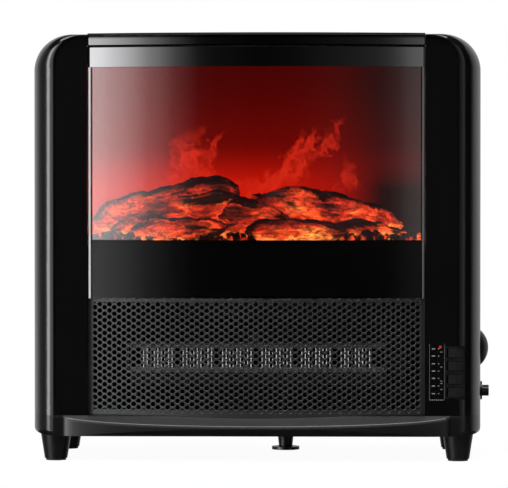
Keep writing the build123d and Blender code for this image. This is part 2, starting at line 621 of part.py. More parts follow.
bed_top = SHELF_TOP + BED_HEIGHT
rear_row = 71.0
front_row = 38.0
logs = {
    "log_left": ((-166, rear_row, bed_top + 17), (-17, rear_row, bed_top + 45), (15, 22, 25, 21)),
    "log_right": ((-8, rear_row, bed_top + 37), (150, rear_row, bed_top + 14), (15, 24, 21, 10)),
    "log_front_left": ((-128, front_row, bed_top + 8), (-30, front_row, bed_top + 12), (9, 13, 13, 9)),
    "log_front_right": ((-14, front_row, bed_top + 10), (92, front_row, bed_top + 8), (11, 14, 12, 8)),
}
bed = block(-BED_HALF, BED_HALF, BED_FRONT, BED_BACK, SHELF_TOP, bed_top)
coal_step = 2 * (BED_HALF - 2 * COAL_R) / (COAL_COUNT - 1)
for index in range(COAL_COUNT):
    coal_x = -BED_HALF + 2 * COAL_R + index * coal_step
    coal_y = (BED_FRONT + BED_BACK) / 2 + (index % 3 - 1) * COAL_R
    bed += Pos(coal_x, coal_y, SHELF_TOP + COAL_R + GAP) * Sphere(COAL_R)
for start, end, radii in logs.values():
    bed -= log(start, end, radii, LOG_SEAT)
for name, (start, end, radii) in logs.items():
    save(name, log(start, end, radii, 0))
bed = bed.solids().sort_by(SortBy.VOLUME)[-1]
save("ember_bed", bed)

# Flame rotor: shaft with flags, a motor on the right wall, a bush in the left wall
rotor_left = -LINER_HALF - BUSH_FLANGE
rotor_right = LINER_HALF + ROTOR_MOTOR_DEPTH / 2
save("rotor_shaft", rod_x(ROTOR_SHAFT_D, rotor_left, rotor_right, ROTOR_Y, ROTOR_Z))
flag_step = 2 * (inside_half - FLAG_WIDTH) / (ROTOR_FLAGS - 1)
flags = rod_x(FLAG_HUB_D, -inside_half + FLAG_WIDTH / 4, inside_half - FLAG_WIDTH / 4, 0, 0)
for index in range(ROTOR_FLAGS):
    flag_x = -inside_half + FLAG_WIDTH + index * flag_step
    flag = block(flag_x - FLAG_WIDTH / 2, flag_x + FLAG_WIDTH / 2, -FLAG_THICK / 2, FLAG_THICK / 2, 0, FLAG_REACH)
    flags += Rot(index * 360 * 5 / ROTOR_FLAGS, 0, 0) * flag
flags -= rod_x(ROTOR_SHAFT_D + 2 * FIT, -BODY_WIDTH, BODY_WIDTH, 0, 0)
save("rotor_flags", Pos(0, ROTOR_Y, ROTOR_Z) * flags)
rotor_motor = rod_x(ROTOR_MOTOR_D, LINER_HALF, LINER_HALF + ROTOR_MOTOR_DEPTH, ROTOR_Y, ROTOR_Z)
rotor_motor -= rod_x(ROTOR_SHAFT_D + 2 * FIT, LINER_HALF - WALL, rotor_right + FIT, ROTOR_Y, ROTOR_Z)
save("rotor_motor", rotor_motor)
rotor_bush = rod_x(bush_d, -LINER_HALF - FIT, -LINER_HALF + SHEET, ROTOR_Y, ROTOR_Z)
rotor_bush += rod_x(bush_d + 2 * BUSH_WALL, rotor_left, -LINER_HALF, ROTOR_Y, ROTOR_Z)
rotor_bush -= rod_x(ROTOR_SHAFT_D + 2 * FIT, rotor_left - WALL, -LINER_HALF + WALL, ROTOR_Y, ROTOR_Z)
save("rotor_bush", rotor_bush)

# Light board on the shelf with its emitters
light_y = ROTOR_Y
save("light_board", block(-LIGHT_BOARD[0] / 2, LIGHT_BOARD[0] / 2, light_y - LIGHT_BOARD[1] / 2,
                          light_y + LIGHT_BOARD[1] / 2, SHELF_TOP, SHELF_TOP + LIGHT_BOARD[2]))
lights = []
for index in range(LIGHT_COUNT):
    light_x = (index - (LIGHT_COUNT - 1) / 2) * LIGHT_BOARD[0] / LIGHT_COUNT
    base_z = SHELF_TOP + LIGHT_BOARD[2]
    lights.append(rod_z(LIGHT_D, light_x, light_y, base_z, base_z + LIGHT_HEIGHT))
save("light_emitters", *lights)

# Heater: duct, fins between two bars
duct = block(-DUCT_HALF - SHEET, DUCT_HALF + SHEET, DUCT_FRONT, DUCT_BACK, DUCT_LOW - SHEET, DUCT_HIGH + SHEET)
duct -= block(-DUCT_HALF, DUCT_HALF, DUCT_FRONT - WALL, DUCT_BACK + WALL, DUCT_LOW, DUCT_HIGH)
save("heater_duct", duct)
fin_front = DUCT_FRONT + FIN_SET_BACK
fin_low = DUCT_LOW + BAR_HEIGHT
fin_high = DUCT_HIGH - BAR_HEIGHT
fin_step = (2 * DUCT_HALF - 2 * GAP - FIN_THICK) / (FIN_COUNT - 1)
fins = []
for index in range(FIN_COUNT):
    fin_x = -DUCT_HALF + GAP + index * fin_step
    fins.append(block(fin_x, fin_x + FIN_THICK, fin_front, fin_front + FIN_DEPTH, fin_low, fin_high))
save("heater_fins", *fins)
bars = []
for bar_low, bar_high in ((DUCT_LOW, fin_low), (fin_high, DUCT_HIGH)):
    bars.append(block(-DUCT_HALF + GAP, DUCT_HALF - GAP, fin_front, fin_front + FIN_DEPTH, bar_low, bar_high))
save("heater_bars", *bars)

# Cross-flow blower: wheel on a shaft, housing on the tray floor, motor on its right plate
wheel_half = DUCT_HALF - WHEEL_END_GAP
blades = []
blade_middle = WHEEL_R - WHEEL_BLADE_DEPTH / 2
for index in range(WHEEL_BLADES):
    blade = block(-wheel_half, wheel_half, -WHEEL_BLADE_THICK / 2, WHEEL_BLADE_THICK / 2, blade_middle
                  - WHEEL_BLADE_DEPTH / 2, blade_middle + WHEEL_BLADE_DEPTH / 2)
    blades.append(Rot(index * 360 / WHEEL_BLADES, 0, 0) * blade)
discs = []
for index in range(WHEEL_SPACES + 1):
    disc_x = -wheel_half + index * (2 * wheel_half - WHEEL_DISC) / WHEEL_SPACES
    discs.append(rod_x(2 * WHEEL_R, disc_x, disc_x + WHEEL_DISC, 0, 0))
wheel = discs[0].fuse(*discs[1:], *blades)
wheel -= rod_x(BLOWER_SHAFT_D + 2 * FIT, -BODY_WIDTH, BODY_WIDTH, 0, 0)
save("blower_wheel", Pos(0, WHEEL_Y, DUCT_Z) * wheel)
plate_out = DUCT_HALF + SHEET
blower_right = plate_out + MOTOR_STACK + MOTOR_TAIL
blower_left = -plate_out - BUSH_FLANGE
save("blower_shaft", rod_x(BLOWER_SHAFT_D, blower_left, blower_right, WHEEL_Y, DUCT_Z))
guide_r = WHEEL_R + GUIDE_GAP
housing = block(-DUCT_HALF, DUCT_HALF, DUCT_BACK, WHEEL_Y, DUCT_Z - guide_r - SHEET, DUCT_Z - guide_r)
guide = rod_x(2 * guide_r + 2 * SHEET, -DUCT_HALF, DUCT_HALF, WHEEL_Y, DUCT_Z)
guide -= rod_x(2 * guide_r, -BODY_WIDTH, BODY_WIDTH, WHEEL_Y, DUCT_Z)
housing += guide & block(-DUCT_HALF, DUCT_HALF, WHEEL_Y, WHEEL_Y + 2 * guide_r, DUCT_Z - 2 * guide_r, DUCT_Z)
housing += block(-DUCT_HALF, DUCT_HALF, DUCT_BACK, DUCT_BACK + SHEET, DUCT_Z - guide_r, DUCT_LOW)
housing += block(-DUCT_HALF, DUCT_HALF, DUCT_BACK, WHEEL_Y - guide_r + GUIDE_GAP / 2, DUCT_HIGH, DUCT_HIGH + SHEET)
plate_top = DUCT_Z + WHEEL_R + HOUSING_TOP_MARGIN
bush_hole = BLOWER_SHAFT_D + 2 * BUSH_WALL
for side in (-1, 1):
    housing += block(side * DUCT_HALF, side * plate_out, DUCT_BACK, DUCT_BACK + HOUSING_LENGTH, FLOOR_Z, plate_top)
    housing += block(side * (DUCT_HALF - RAIL), side * plate_out, DUCT_BACK, DUCT_BACK + HOUSING_LENGTH, FLOOR_Z,
                     FLOOR_Z + SHEET)
    housing -= rod_x(bush_hole + 2 * FIT, side * (DUCT_HALF - WALL), side * (plate_out + WALL), WHEEL_Y, DUCT_Z)
save("blower_housing", housing)
motor_half = MOTOR_SIZE / 2
motor = block(plate_out, plate_out + MOTOR_STACK, WHEEL_Y - motor_half, WHEEL_Y + motor_half, DUCT_Z - motor_half,
              DUCT_Z + motor_half)
coil_low = DUCT_Z - motor_half - MOTOR_COIL[2]
motor += block(plate_out + (MOTOR_STACK - MOTOR_COIL[1]) / 2, plate_out + (MOTOR_STACK + MOTOR_COIL[1]) / 2,
               WHEEL_Y - MOTOR_COIL[0] / 2, WHEEL_Y + MOTOR_COIL[0] / 2, coil_low, DUCT_Z - motor_half + FIT)
motor -= rod_x(BLOWER_SHAFT_D + 2 * FIT, DUCT_HALF - WALL, blower_right + WALL, WHEEL_Y, DUCT_Z)
save("blower_motor", motor)
blower_bush = rod_x(bush_hole, -plate_out - FIT, -DUCT_HALF, WHEEL_Y, DUCT_Z)
blower_bush += rod_x(bush_hole + 2 * BUSH_WALL, blower_left, -plate_out, WHEEL_Y, DUCT_Z)
blower_bush -= rod_x(BLOWER_SHAFT_D + 2 * FIT, blower_left - WALL, -DUCT_HALF + WALL, WHEEL_Y, DUCT_Z)
save("blower_bush", blower_bush)
cutout_z = DUCT_HIGH + SHEET
save("thermal_cutout", rod_z(CUTOUT_D, 0, (DUCT_FRONT + DUCT_BACK) / 2, cutout_z, cutout_z + CUTOUT_HEIGHT))

# Control board on the posts of the tray
board_z = FLOOR_Z + BOARD_POST
board = block(BOARD_X - BOARD[0] / 2, BOARD_X + BOARD[0] / 2, BOARD_Y - BOARD[1] / 2, BOARD_Y + BOARD[1] / 2, board_z,
              board_z + BOARD[2])
for dx in (-1, 1):
    relay_x = BOARD_X + dx * BOARD[0] / 4
    board += block(relay_x - RELAY / 2, relay_x + RELAY / 2, BOARD_Y - RELAY / 2, BOARD_Y + RELAY / 2,
                   board_z + BOARD[2] - FIT, board_z + BOARD[2] + RELAY)
save("control_board", board)

# Tip-over plunger and its switch on a bracket
flange_top = TIP_FLOOR_GAP + TIP_FLANGE
neck_top = flange_top + TIP_NECK
collar_low = guide_top + TIP_DROP + FIT
stem_top = collar_low + TIP_COLLAR + TIP_STEM_ABOVE
plunger = rod_z(TIP_FLANGE_D, TIP_X, TIP_Y, TIP_FLOOR_GAP, flange_top)
plunger += Pos(TIP_X, TIP_Y, (flange_top + neck_top) / 2) * Cone(TIP_NECK_D[0] / 2, TIP_NECK_D[1] / 2, TIP_NECK)
plunger += rod_z(TIP_STEM_D, TIP_X, TIP_Y, neck_top - FIT, stem_top)
plunger += rod_z(TIP_COLLAR_D, TIP_X, TIP_Y, collar_low, collar_low + TIP_COLLAR)
save("tip_plunger", plunger)
switch_low = stem_top + TIP_SWITCH_GAP
switch_back = TIP_Y + TIP_SWITCH[1] / 2
tip_switch = block(TIP_X - TIP_SWITCH[0] / 2, TIP_X + TIP_SWITCH[0] / 2, TIP_Y - TIP_SWITCH[1] / 2, switch_back,
                   switch_low, switch_low + TIP_SWITCH[2])
bracket_y = TIP_Y + guide_d / 2 + GAP
tip_switch += block(TIP_X - TIP_SWITCH[0] / 2, TIP_X + TIP_SWITCH[0] / 2, bracket_y, bracket_y + BRACKET, FLOOR_Z,
                    switch_low + TIP_SWITCH[2])
tip_switch += block(TIP_X - TIP_SWITCH[0] / 2, TIP_X + TIP_SWITCH[0] / 2, switch_back - FIT, bracket_y + FIT,
                    switch_low + TIP_SWITCH[2] / 2, switch_low + TIP_SWITCH[2])
save("tip_switch", tip_switch)
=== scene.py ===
# %% [markdown]
# # An electric fireplace in Blender
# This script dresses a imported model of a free-standing electric fireplace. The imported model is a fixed
# frame: its pieces never move here. They get finishes, and a few pieces that a solid model holds only in
# outline, such as the fine grille and the logs, are built again in full and stand in for theirs.

# %% Load the frame
import json
import math

import bmesh
import bpy
from mathutils import Matrix, Vector, noise


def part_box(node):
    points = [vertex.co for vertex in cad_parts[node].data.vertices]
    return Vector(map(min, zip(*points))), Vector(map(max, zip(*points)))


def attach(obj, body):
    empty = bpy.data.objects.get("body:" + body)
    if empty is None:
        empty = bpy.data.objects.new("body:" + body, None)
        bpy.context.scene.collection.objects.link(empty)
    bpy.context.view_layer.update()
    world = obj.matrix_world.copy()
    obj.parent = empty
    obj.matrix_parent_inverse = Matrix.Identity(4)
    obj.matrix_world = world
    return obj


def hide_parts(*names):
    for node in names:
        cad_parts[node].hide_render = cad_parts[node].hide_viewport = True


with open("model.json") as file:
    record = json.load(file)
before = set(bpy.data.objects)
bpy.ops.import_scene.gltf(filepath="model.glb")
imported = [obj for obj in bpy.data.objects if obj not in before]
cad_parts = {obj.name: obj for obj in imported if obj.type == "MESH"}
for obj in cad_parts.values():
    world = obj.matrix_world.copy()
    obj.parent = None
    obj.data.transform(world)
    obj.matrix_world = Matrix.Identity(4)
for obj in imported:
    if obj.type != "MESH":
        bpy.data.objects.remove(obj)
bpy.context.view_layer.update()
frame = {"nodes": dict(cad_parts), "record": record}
scene = bpy.context.scene
scene.view_settings.view_transform = "Standard"


def box_of(node):
    return [Vector(corner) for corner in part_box(node)]


left_low, left_high = box_of("left_side_panel")
right_high = box_of("right_side_panel")[1]
MIDDLE_X = (left_low.x + right_high.x) / 2
RIM_Y = left_low.y
BODY_TOP = left_high.z
print("body middle", round(MIDDLE_X, 4), "rim plane", round(RIM_Y, 4), "top", round(BODY_TOP, 4))

# %% [markdown]
# ## Camera
# The photograph was taken from far away with a long lens, nearly square on, a little from the right and from
# about the middle of the window. A long lens keeps both rims the same width, so the distance and the lens
# are set together: the lens follows from the size of a pixel at the rim plane.

# %% Set up the camera
PICTURE = (508, 488)
PIXEL = 0.000985
DISTANCE = 2.763
TURN = math.radians(1.5)
BODY_PIXEL_X = 256
FLOOR_PIXEL_Y = 462.6
HORIZON_PIXEL_Y = 207

aim = Vector((
    MIDDLE_X + (PICTURE[0] / 2 - BODY_PIXEL_X) * PIXEL,
    RIM_Y,
    (FLOOR_PIXEL_Y - PICTURE[1] / 2) * PIXEL,
))
eye = Vector((
    aim.x + DISTANCE * math.sin(TURN),
    aim.y - DISTANCE * math.cos(TURN),
    (FLOOR_PIXEL_Y - HORIZON_PIXEL_Y) * PIXEL,
))
camera_data = bpy.data.cameras.new("camera")
camera_data.sensor_width = 36.0
camera_data.lens = camera_data.sensor_width * DISTANCE / (PICTURE[0] * PIXEL)
camera = bpy.data.objects.new("camera", camera_data)
camera.location = eye
camera.rotation_euler = (aim - eye).to_track_quat("-Z", "Y").to_euler()
scene.collection.objects.link(camera)
scene.camera = camera
print("lens", round(camera_data.lens, 1), "eye", [round(value, 3) for value in eye])

# %% [markdown]
# ## Small helpers for node trees
# Every material and every Geometry Nodes tree below is wired by one helper: it adds a node, sets its plain
# settings, and fills each input either with a value or with a link from another node's output. The others are
# short forms of it for the nodes that come up most often.

# %% Node helpers
def add(tree, kind, inputs=None, **settings):
    made = tree.nodes.new(kind)
    for name, value in settings.items():
        setattr(made, name, value)
    for name, value in (inputs or {}).items():
        if isinstance(value, bpy.types.NodeSocket):
            tree.links.new(value, made.inputs[name])
        else:
            made.inputs[name].default_value = value
    return made


def math_node(tree, operation, first, second=0.0, third=0.0, clamp=False):
    inputs = {0: first, 1: second, 2: third}
    return add(tree, "ShaderNodeMath", inputs, operation=operation, use_clamp=clamp).outputs[0]


def ramped(tree, value, start, end, low=0.0, high=1.0, kind="LINEAR"):
    inputs = {"Value": value, "From Min": start, "From Max": end, "To Min": low, "To Max": high}
    return add(tree, "ShaderNodeMapRange", inputs, interpolation_type=kind).outputs[0]


def smoothed(tree, value, start, end, low=0.0, high=1.0):
    return ramped(tree, value, start, end, low, high, "SMOOTHSTEP")


def mixed(tree, share, first, second, blend="MIX"):
    inputs = {0: share, 6: first, 7: second}
    return add(tree, "ShaderNodeMix", inputs, data_type="RGBA", blend_type=blend).outputs[2]


def axes(tree, place):
    return add(tree, "ShaderNodeSeparateXYZ", {0: place}).outputs


def joined(tree, **parts):
    return add(tree, "ShaderNodeCombineXYZ", parts).outputs[0]


# %% Material and group helpers
def new_material(name):
    made = bpy.data.materials.new(name)
    made.use_nodes = True
    tree = made.node_tree
    tree.nodes.clear()
    return made, tree, add(tree, "ShaderNodeTexCoord").outputs["Object"]


def close_material(tree, shader):
    add(tree, "ShaderNodeOutputMaterial", {"Surface": shader.outputs[0]})


def new_group(name, values, results):
    group = bpy.data.node_groups.new(name, "ShaderNodeTree")
    group.interface.new_socket("Vector", in_out="INPUT", socket_type="NodeSocketVector")
    for label in values:
        group.interface.new_socket(label, in_out="INPUT", socket_type="NodeSocketFloat")
    for label in results:
        group.interface.new_socket(label, in_out="OUTPUT", socket_type="NodeSocketFloat")
    return group, add(group, "NodeGroupInput").outputs

# %% [markdown]
# ## Studio
# Black gloss shows nothing but what it mirrors, so the studio is mostly a matter of what stands where. A tall
# soft panel on the left fades in towards the edge: the bowed glass mirrors it at its left end and the left rim
# catches it as one bright line. A weaker one stands on the right. Dark cards behind the camera and at the
# right keep the flat pillars and the right rim black. All of them are hidden from the camera.

# %% White surroundings
AMBIENT = 0.32
GLOSSY_CUT = 0.9
world = bpy.data.worlds.new("studio")
world.use_nodes = True
scene.world = world
sky = world.node_tree
sky.nodes.clear()
rays = add(sky, "ShaderNodeLightPath").outputs
white = add(sky, "ShaderNodeBackground", {"Color": (1, 1, 1, 1), "Strength": 1.0})
dim = math_node(sky, "MULTIPLY_ADD", rays["Is Glossy Ray"], -GLOSSY_CUT * AMBIENT, AMBIENT)
room = add(sky, "ShaderNodeBackground", {"Color": (1, 1, 1, 1), "Strength": dim})
around = add(sky, "ShaderNodeMixShader", {0: rays["Is Camera Ray"], 1: room.outputs[0], 2: white.outputs[0]})
add(sky, "ShaderNodeOutputWorld", {"Surface": around.outputs[0]})
print("room light", AMBIENT)


def stage_mesh(name, points, faces, material, levels=None):
    mesh = bpy.data.meshes.new(name)
    mesh.from_pydata(points, [], faces)
    if levels:
        mesh.attributes.new("level", "FLOAT", "POINT").data.foreach_set("value", levels)
    mesh.materials.append(material)
    made = bpy.data.objects.new(name, mesh)
    scene.collection.objects.link(made)
    return made

# %% Floor
FLOOR_HALF = 6.0
SHADOW_NEAR, SHADOW_FAR = 0.2, 0.42
PAPER_SHARE = 0.96
floor_finish, tree, place = new_material("floor_white")
oval = add(tree, "ShaderNodeVectorMath", {0: place, 1: (1.0, 1.6, 1.0)}, operation="MULTIPLY").outputs[0]
reach = add(tree, "ShaderNodeVectorMath", {0: oval}, operation="LENGTH").outputs["Value"]
rays = add(tree, "ShaderNodeLightPath").outputs
seen = math_node(
    tree, "MULTIPLY", ramped(tree, reach, SHADOW_NEAR, SHADOW_FAR, PAPER_SHARE), rays["Is Camera Ray"])
matt = add(tree, "ShaderNodeBsdfPrincipled", {"Base Color": (0.9, 0.9, 0.9, 1), "Roughness": 0.9})
paper = add(tree, "ShaderNodeEmission", {"Color": (1, 1, 1, 1), "Strength": 1.0})
shown = add(tree, "ShaderNodeMixShader", {0: seen, 1: matt.outputs[0], 2: paper.outputs[0]})
# A ray that left through the glass counts as glossy, and meets a dark floor.
dark = add(tree, "ShaderNodeEmission", {"Color": (1, 1, 1, 1), "Strength": 0.01})
close_material(tree, add(tree, "ShaderNodeMixShader", {
    0: rays["Is Glossy Ray"], 1: shown.outputs[0], 2: dark.outputs[0]}))
square = ((-1, -1), (1, -1), (1, 1), (-1, 1))
floor_corners = [(FLOOR_HALF * x, FLOOR_HALF * y, 0) for x, y in square]
floor = stage_mesh("floor", floor_corners, [(0, 1, 2, 3)], floor_finish)
floor.visible_glossy = False
print("floor side", 2 * FLOOR_HALF)

# %% Soft panels and dark cards as one ring around the object
RING_RADIUS = 2.4
RING_LOW, RING_HIGH = -0.5, 1.7
# Each pair is a bearing in degrees, 0 straight in front and positive to the right, and its brightness.
RING_LEVELS = (
    (-180, 0.5), (-150, 0.5), (-120, 0.2), (-95, 0.2), (-80, 0.35), (-70, 2.0), (-62, 8.0), (-50, 8.0),
    (-41, 2.2), (-34, 1.5), (-28.4, 1.42), (-27.1, 1.3), (-25.5, 1.05), (-23.1, 0.78), (-19, 0.31),
    (-18, 0.27), (-15, 0.1), (-12.8, 0.045), (-10.9, 0.012), (-8, 0.006), (-5, 0.005), (-1.5, 0.003),
    (5, 0.005), (10.8, 0.012), (15, 0.018), (18.7, 0.028), (20.5, 0.045), (21.9, 0.07), (24.4, 0.165),
    (26, 0.2), (35, 0.2), (42, 0.5), (50, 0.5), (58, 0.1), (64, 0.0), (100, 0.0), (125, 0.4), (180, 0.5))
ring_finish, tree, _ = new_material("studio_ring")
level = add(tree, "ShaderNodeAttribute", attribute_name="level").outputs["Fac"]
close_material(tree, add(tree, "ShaderNodeEmission", {"Color": (1, 1, 1, 1), "Strength": level}))
points, faces, levels = [], [], []
for bearing, strength in RING_LEVELS:
    x = MIDDLE_X + RING_RADIUS * math.sin(math.radians(bearing))
    y = RIM_Y - RING_RADIUS * math.cos(math.radians(bearing))
    points += [(x, y, RING_LOW), (x, y, RING_HIGH)]
    levels += [strength, strength]
for first in range(0, 2 * len(RING_LEVELS) - 2, 2):
    faces.append((first, first + 2, first + 3, first + 1))
ring = stage_mesh("studio_ring", points, faces, ring_finish, levels)
ring.visible_camera = False
ring.visible_diffuse = False
ring.visible_shadow = False
print("ring panels", len(faces))

# %% Overhead light and front fill
def area_light(name, width, depth, watts, place, turn):
    data = bpy.data.lights.new(name, "AREA")
    data.shape = "RECTANGLE"
    data.size, data.size_y = width, depth
    data.energy = watts
    made = bpy.data.objects.new(name, data)
    made.location = place
    made.rotation_euler = turn
    scene.collection.objects.link(made)
    return made


area_light("overhead", 3.0, 2.0, 110.0, (MIDDLE_X - 0.3, -0.7, 2.4), (math.radians(12), 0, 0))
fill_place = Vector((MIDDLE_X - 0.6, -2.3, 2.1))
fill_turn = (Vector((MIDDLE_X, 0, 0.15)) - fill_place).to_track_quat("-Z", "Y").to_euler()
fill = area_light("front_fill", 1.6, 1.2, 150.0, fill_place, fill_turn)
fill.visible_glossy = False

# %% [markdown]
# ## Finishes for the hard pieces
# Mouldings, powder coat, plated sheet and rubber differ in colour, gloss and grain, but all of them vary the
# same way: a fine grain that bumps the surface and a broad, faint smudge that changes gloss and shade. That
# shared effect is one shader group, and each finish places it with its own values.

# %% The grain group
def grain_group():
    group, given = new_group(
        "surface_grain", ("Grain Scale", "Smudge Scale", "Roughness", "Spread", "Tint"),
        ("Roughness", "Height", "Shade"))
    place = given["Vector"]
    fine = add(group, "ShaderNodeTexNoise", {"Vector": place, "Scale": given["Grain Scale"], "Detail": 2.0})
    broad = add(group, "ShaderNodeTexNoise", {"Vector": place, "Scale": given["Smudge Scale"], "Detail": 4.0})
    swing = math_node(group, "SUBTRACT", broad.outputs["Fac"], 0.5)
    rough = math_node(group, "MULTIPLY_ADD", swing, given["Spread"], given["Roughness"], clamp=True)
    shade = math_node(group, "MULTIPLY_ADD", swing, given["Tint"], 1.0)
    add(group, "NodeGroupOutput", {"Roughness": rough, "Height": fine.outputs["Fac"], "Shade": shade})
    return group


surface_grain = grain_group()
print("grain nodes", len(surface_grain.nodes))


# %% A hard finish
def grained(tree, place, grain, smudge, roughness, spread, tint):
    return add(tree, "ShaderNodeGroup", {
        "Vector": place, "Grain Scale": grain, "Smudge Scale": smudge, "Roughness": roughness,
        "Spread": spread, "Tint": tint}, node_tree=surface_grain).outputs


def hard_finish(name, colour, roughness, grain=900.0, bump=0.05, smudge=14.0, spread=0.2, tint=0.5,
                metallic=0.0, specular=0.5, zones=None):
    made, tree, place = new_material(name)
    grit = grained(tree, place, grain, smudge, roughness, spread, tint)
    paint, gloss = (*colour, 1), grit["Roughness"]
    if zones:
        paint, gloss = zones(tree, axes(tree, place), paint, gloss)
    shaded = add(tree, "ShaderNodeHueSaturation", {"Color": paint, "Value": grit["Shade"]})
    raised = add(tree, "ShaderNodeBump", {"Height": grit["Height"], "Strength": bump, "Distance": 0.0003})
    close_material(tree, add(tree, "ShaderNodeBsdfPrincipled", {
        "Base Color": shaded.outputs[0], "Roughness": gloss, "Metallic": metallic,
        "Specular IOR Level": specular, "Normal": raised.outputs[0]}))
    return made


# %% Zones: painted shade on the trim's top edge and painted light on the tray's ledge
TRIM_GREY, TRIM_SHADE_AND_LINE_BLACK = (0.34, 0.34, 0.345, 1), (0.004, 0.004, 0.004, 1)
LIP_DEPTH = 0.0127
NOSE_REACH = RIM_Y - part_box("base_tray")[0][1]
LEDGE_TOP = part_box("base_tray")[1][2]
CHIN_HALF = 0.191
LEDGE_SLOPE = math.tan(math.radians(30))
# Painted light on the chin's ledge.
LEDGE_PAINTED_LIGHT = (0.011, 0.011, 0.0112, 1)
print("chin reach mm", round(NOSE_REACH * 1000, 1))


# The trim's top edge is painted black, a painted shade where it would mirror the overhead light. Below it the
# strip is a duller grey metal down to a black line along its lower lip, and under the lip the trim keeps the
# brighter metal of its slot.
def trim_shade_zones(tree, spot, paint, gloss):
    below_top = math_node(tree, "SUBTRACT", BODY_TOP, spot["Z"])
    lip = math_node(tree, "ABSOLUTE", math_node(tree, "SUBTRACT", below_top, LIP_DEPTH))
    paint = mixed(tree, ramped(tree, below_top, 0.0125, 0.0112), paint, TRIM_GREY)
    # Painted shade: the top edge is black where it would mirror the overhead light.
    paint = mixed(tree, ramped(tree, below_top, 0.006, 0.0035), paint, TRIM_SHADE_AND_LINE_BLACK)
    return mixed(tree, ramped(tree, lip, 0.0012, 0.0008), paint, TRIM_SHADE_AND_LINE_BLACK), gloss


# The chin's ledge is painted a lighter grey, a painted light where the overhead lamp falls on it. In front of
# the rim the tray is also rougher.
def tray_painted_light_zones(tree, spot, paint, gloss):
    across = math_node(tree, "DIVIDE", math_node(tree, "SUBTRACT", spot["X"], MIDDLE_X), CHIN_HALF)
    rest = math_node(tree, "SUBTRACT", 1.0, math_node(tree, "MULTIPLY", across, across))
    reach = math_node(tree, "SQRT", math_node(tree, "MAXIMUM", rest, 0.0))
    nose = math_node(tree, "MULTIPLY_ADD", reach, -NOSE_REACH * LEDGE_SLOPE, LEDGE_TOP - 0.0022)
    ledge = ramped(tree, math_node(tree, "SUBTRACT", spot["Z"], nose), -0.0006, 0.0006)
    ahead = ramped(tree, spot["Y"], RIM_Y + 0.001, RIM_Y - 0.002)
    # Painted light: the ledge in front of the rim takes the lighter colour.
    paint = mixed(tree, math_node(tree, "MULTIPLY", ledge, ahead), paint, LEDGE_PAINTED_LIGHT)
    return paint, math_node(tree, "MULTIPLY_ADD", ahead, 0.18, gloss)

# %% One finish for each material slot that is hard and opaque
HARD_SLOTS = (
    ("gloss_black", (0.0012, 0.0012, 0.0013), 0.09, dict(bump=0.008, spread=0.05)),
    ("satin_black", (0.003, 0.003, 0.0033), 0.3, dict(bump=0.06, spread=0.15)),
    ("black_trim", (0.56, 0.56, 0.57), 0.07,
     dict(bump=0.004, spread=0.05, tint=0.1, metallic=1.0, zones=trim_shade_zones)),
    ("black_sheet", (0.0055, 0.0055, 0.0058), 0.38, dict(grain=1800.0, bump=0.12, specular=0.8)),
    ("zinc_steel", (0.5, 0.5, 0.52), 0.38, dict(grain=700.0, bump=0.05, smudge=60.0, tint=0.6, metallic=1.0)),
    ("rubber_black", (0.012, 0.012, 0.012), 0.75, dict(grain=1200.0, bump=0.2)),
    ("mask_black", (0.0012, 0.0012, 0.0012), 0.7, dict(bump=0.0, specular=0.0)),
    ("switch_black", (0.003, 0.003, 0.0032), 0.36, dict(grain=2500.0, bump=0.12, specular=0.35)),
    ("mirror_sheet", (0.8, 0.8, 0.8), 0.08, dict(bump=0.02, tint=0.2, metallic=1.0)),
    ("bronze", (0.42, 0.26, 0.12), 0.45, dict(grain=3000.0, bump=0.2, metallic=1.0)),
    ("circuit_green", (0.004, 0.024, 0.01), 0.35, dict(grain=500.0, bump=0.08)),
    ("fin_aluminium", (0.55, 0.55, 0.56), 0.45,
     dict(grain=600.0, bump=0.05, smudge=40.0, tint=0.3, metallic=0.3)),
    # The heater bars are pale ceramic, painted dark grey here as shade behind the grille.
    ("bar_ceramic", (0.05, 0.048, 0.045), 0.7, dict(grain=1500.0, bump=0.15, tint=0.3)),
    ("motor_steel", (0.025, 0.025, 0.027), 0.5, dict(grain=800.0, bump=0.1, metallic=0.6)),
)
finishes = {slot: hard_finish(slot, colour, gloss, **more) for slot, colour, gloss, more in HARD_SLOTS}
print("hard finishes", len(finishes))

# %% [markdown]
# ## Glass, tint film and lit lenses
# The front is clear glass with a grey half-mirror film behind the window. Both are real slabs here, so light
# passes two faces of each. The film's higher index makes it mirror about a quarter of the light, which is why
# the window shows the room at its ends while the plain glass lower down stays black.

# %% Clear and lit pieces
def clear_finish(name, colour, index, roughness):
    made, tree, place = new_material(name)
    grit = grained(tree, place, 300.0, 9.0, roughness, roughness, 0.05)
    close_material(tree, add(tree, "ShaderNodeBsdfPrincipled", {
        "Base Color": (*colour, 1), "Roughness": grit["Roughness"], "IOR": index,
        "Transmission Weight": 1.0}))
    return made


def lit_finish(name, colour, strength):
    made, tree, place = new_material(name)
    grit = grained(tree, place, 900.0, 300.0, 0.25, 0.1, 0.4)
    glow = add(tree, "ShaderNodeHueSaturation", {"Color": (*colour, 1), "Value": grit["Shade"]})
    close_material(tree, add(tree, "ShaderNodeBsdfPrincipled", {
        "Base Color": (*colour, 1), "Roughness": grit["Roughness"],
        "Emission Color": glow.outputs[0], "Emission Strength": strength}))
    return made


finishes["clear_glass"] = clear_finish("clear_glass", (0.97, 0.985, 0.98), 1.3, 0.01)
finishes["tint"] = clear_finish("tint", (0.92, 0.92, 0.92), 2.15, 0.01)
finishes["red_lens"] = lit_finish("red_lens", (0.14, 0.006, 0.008), 0.35)
finishes["lamp_amber"] = lit_finish("lamp_amber", (1.0, 0.42, 0.08), 3.0)
print("clear and lit finishes", len(finishes) - len(HARD_SLOTS))
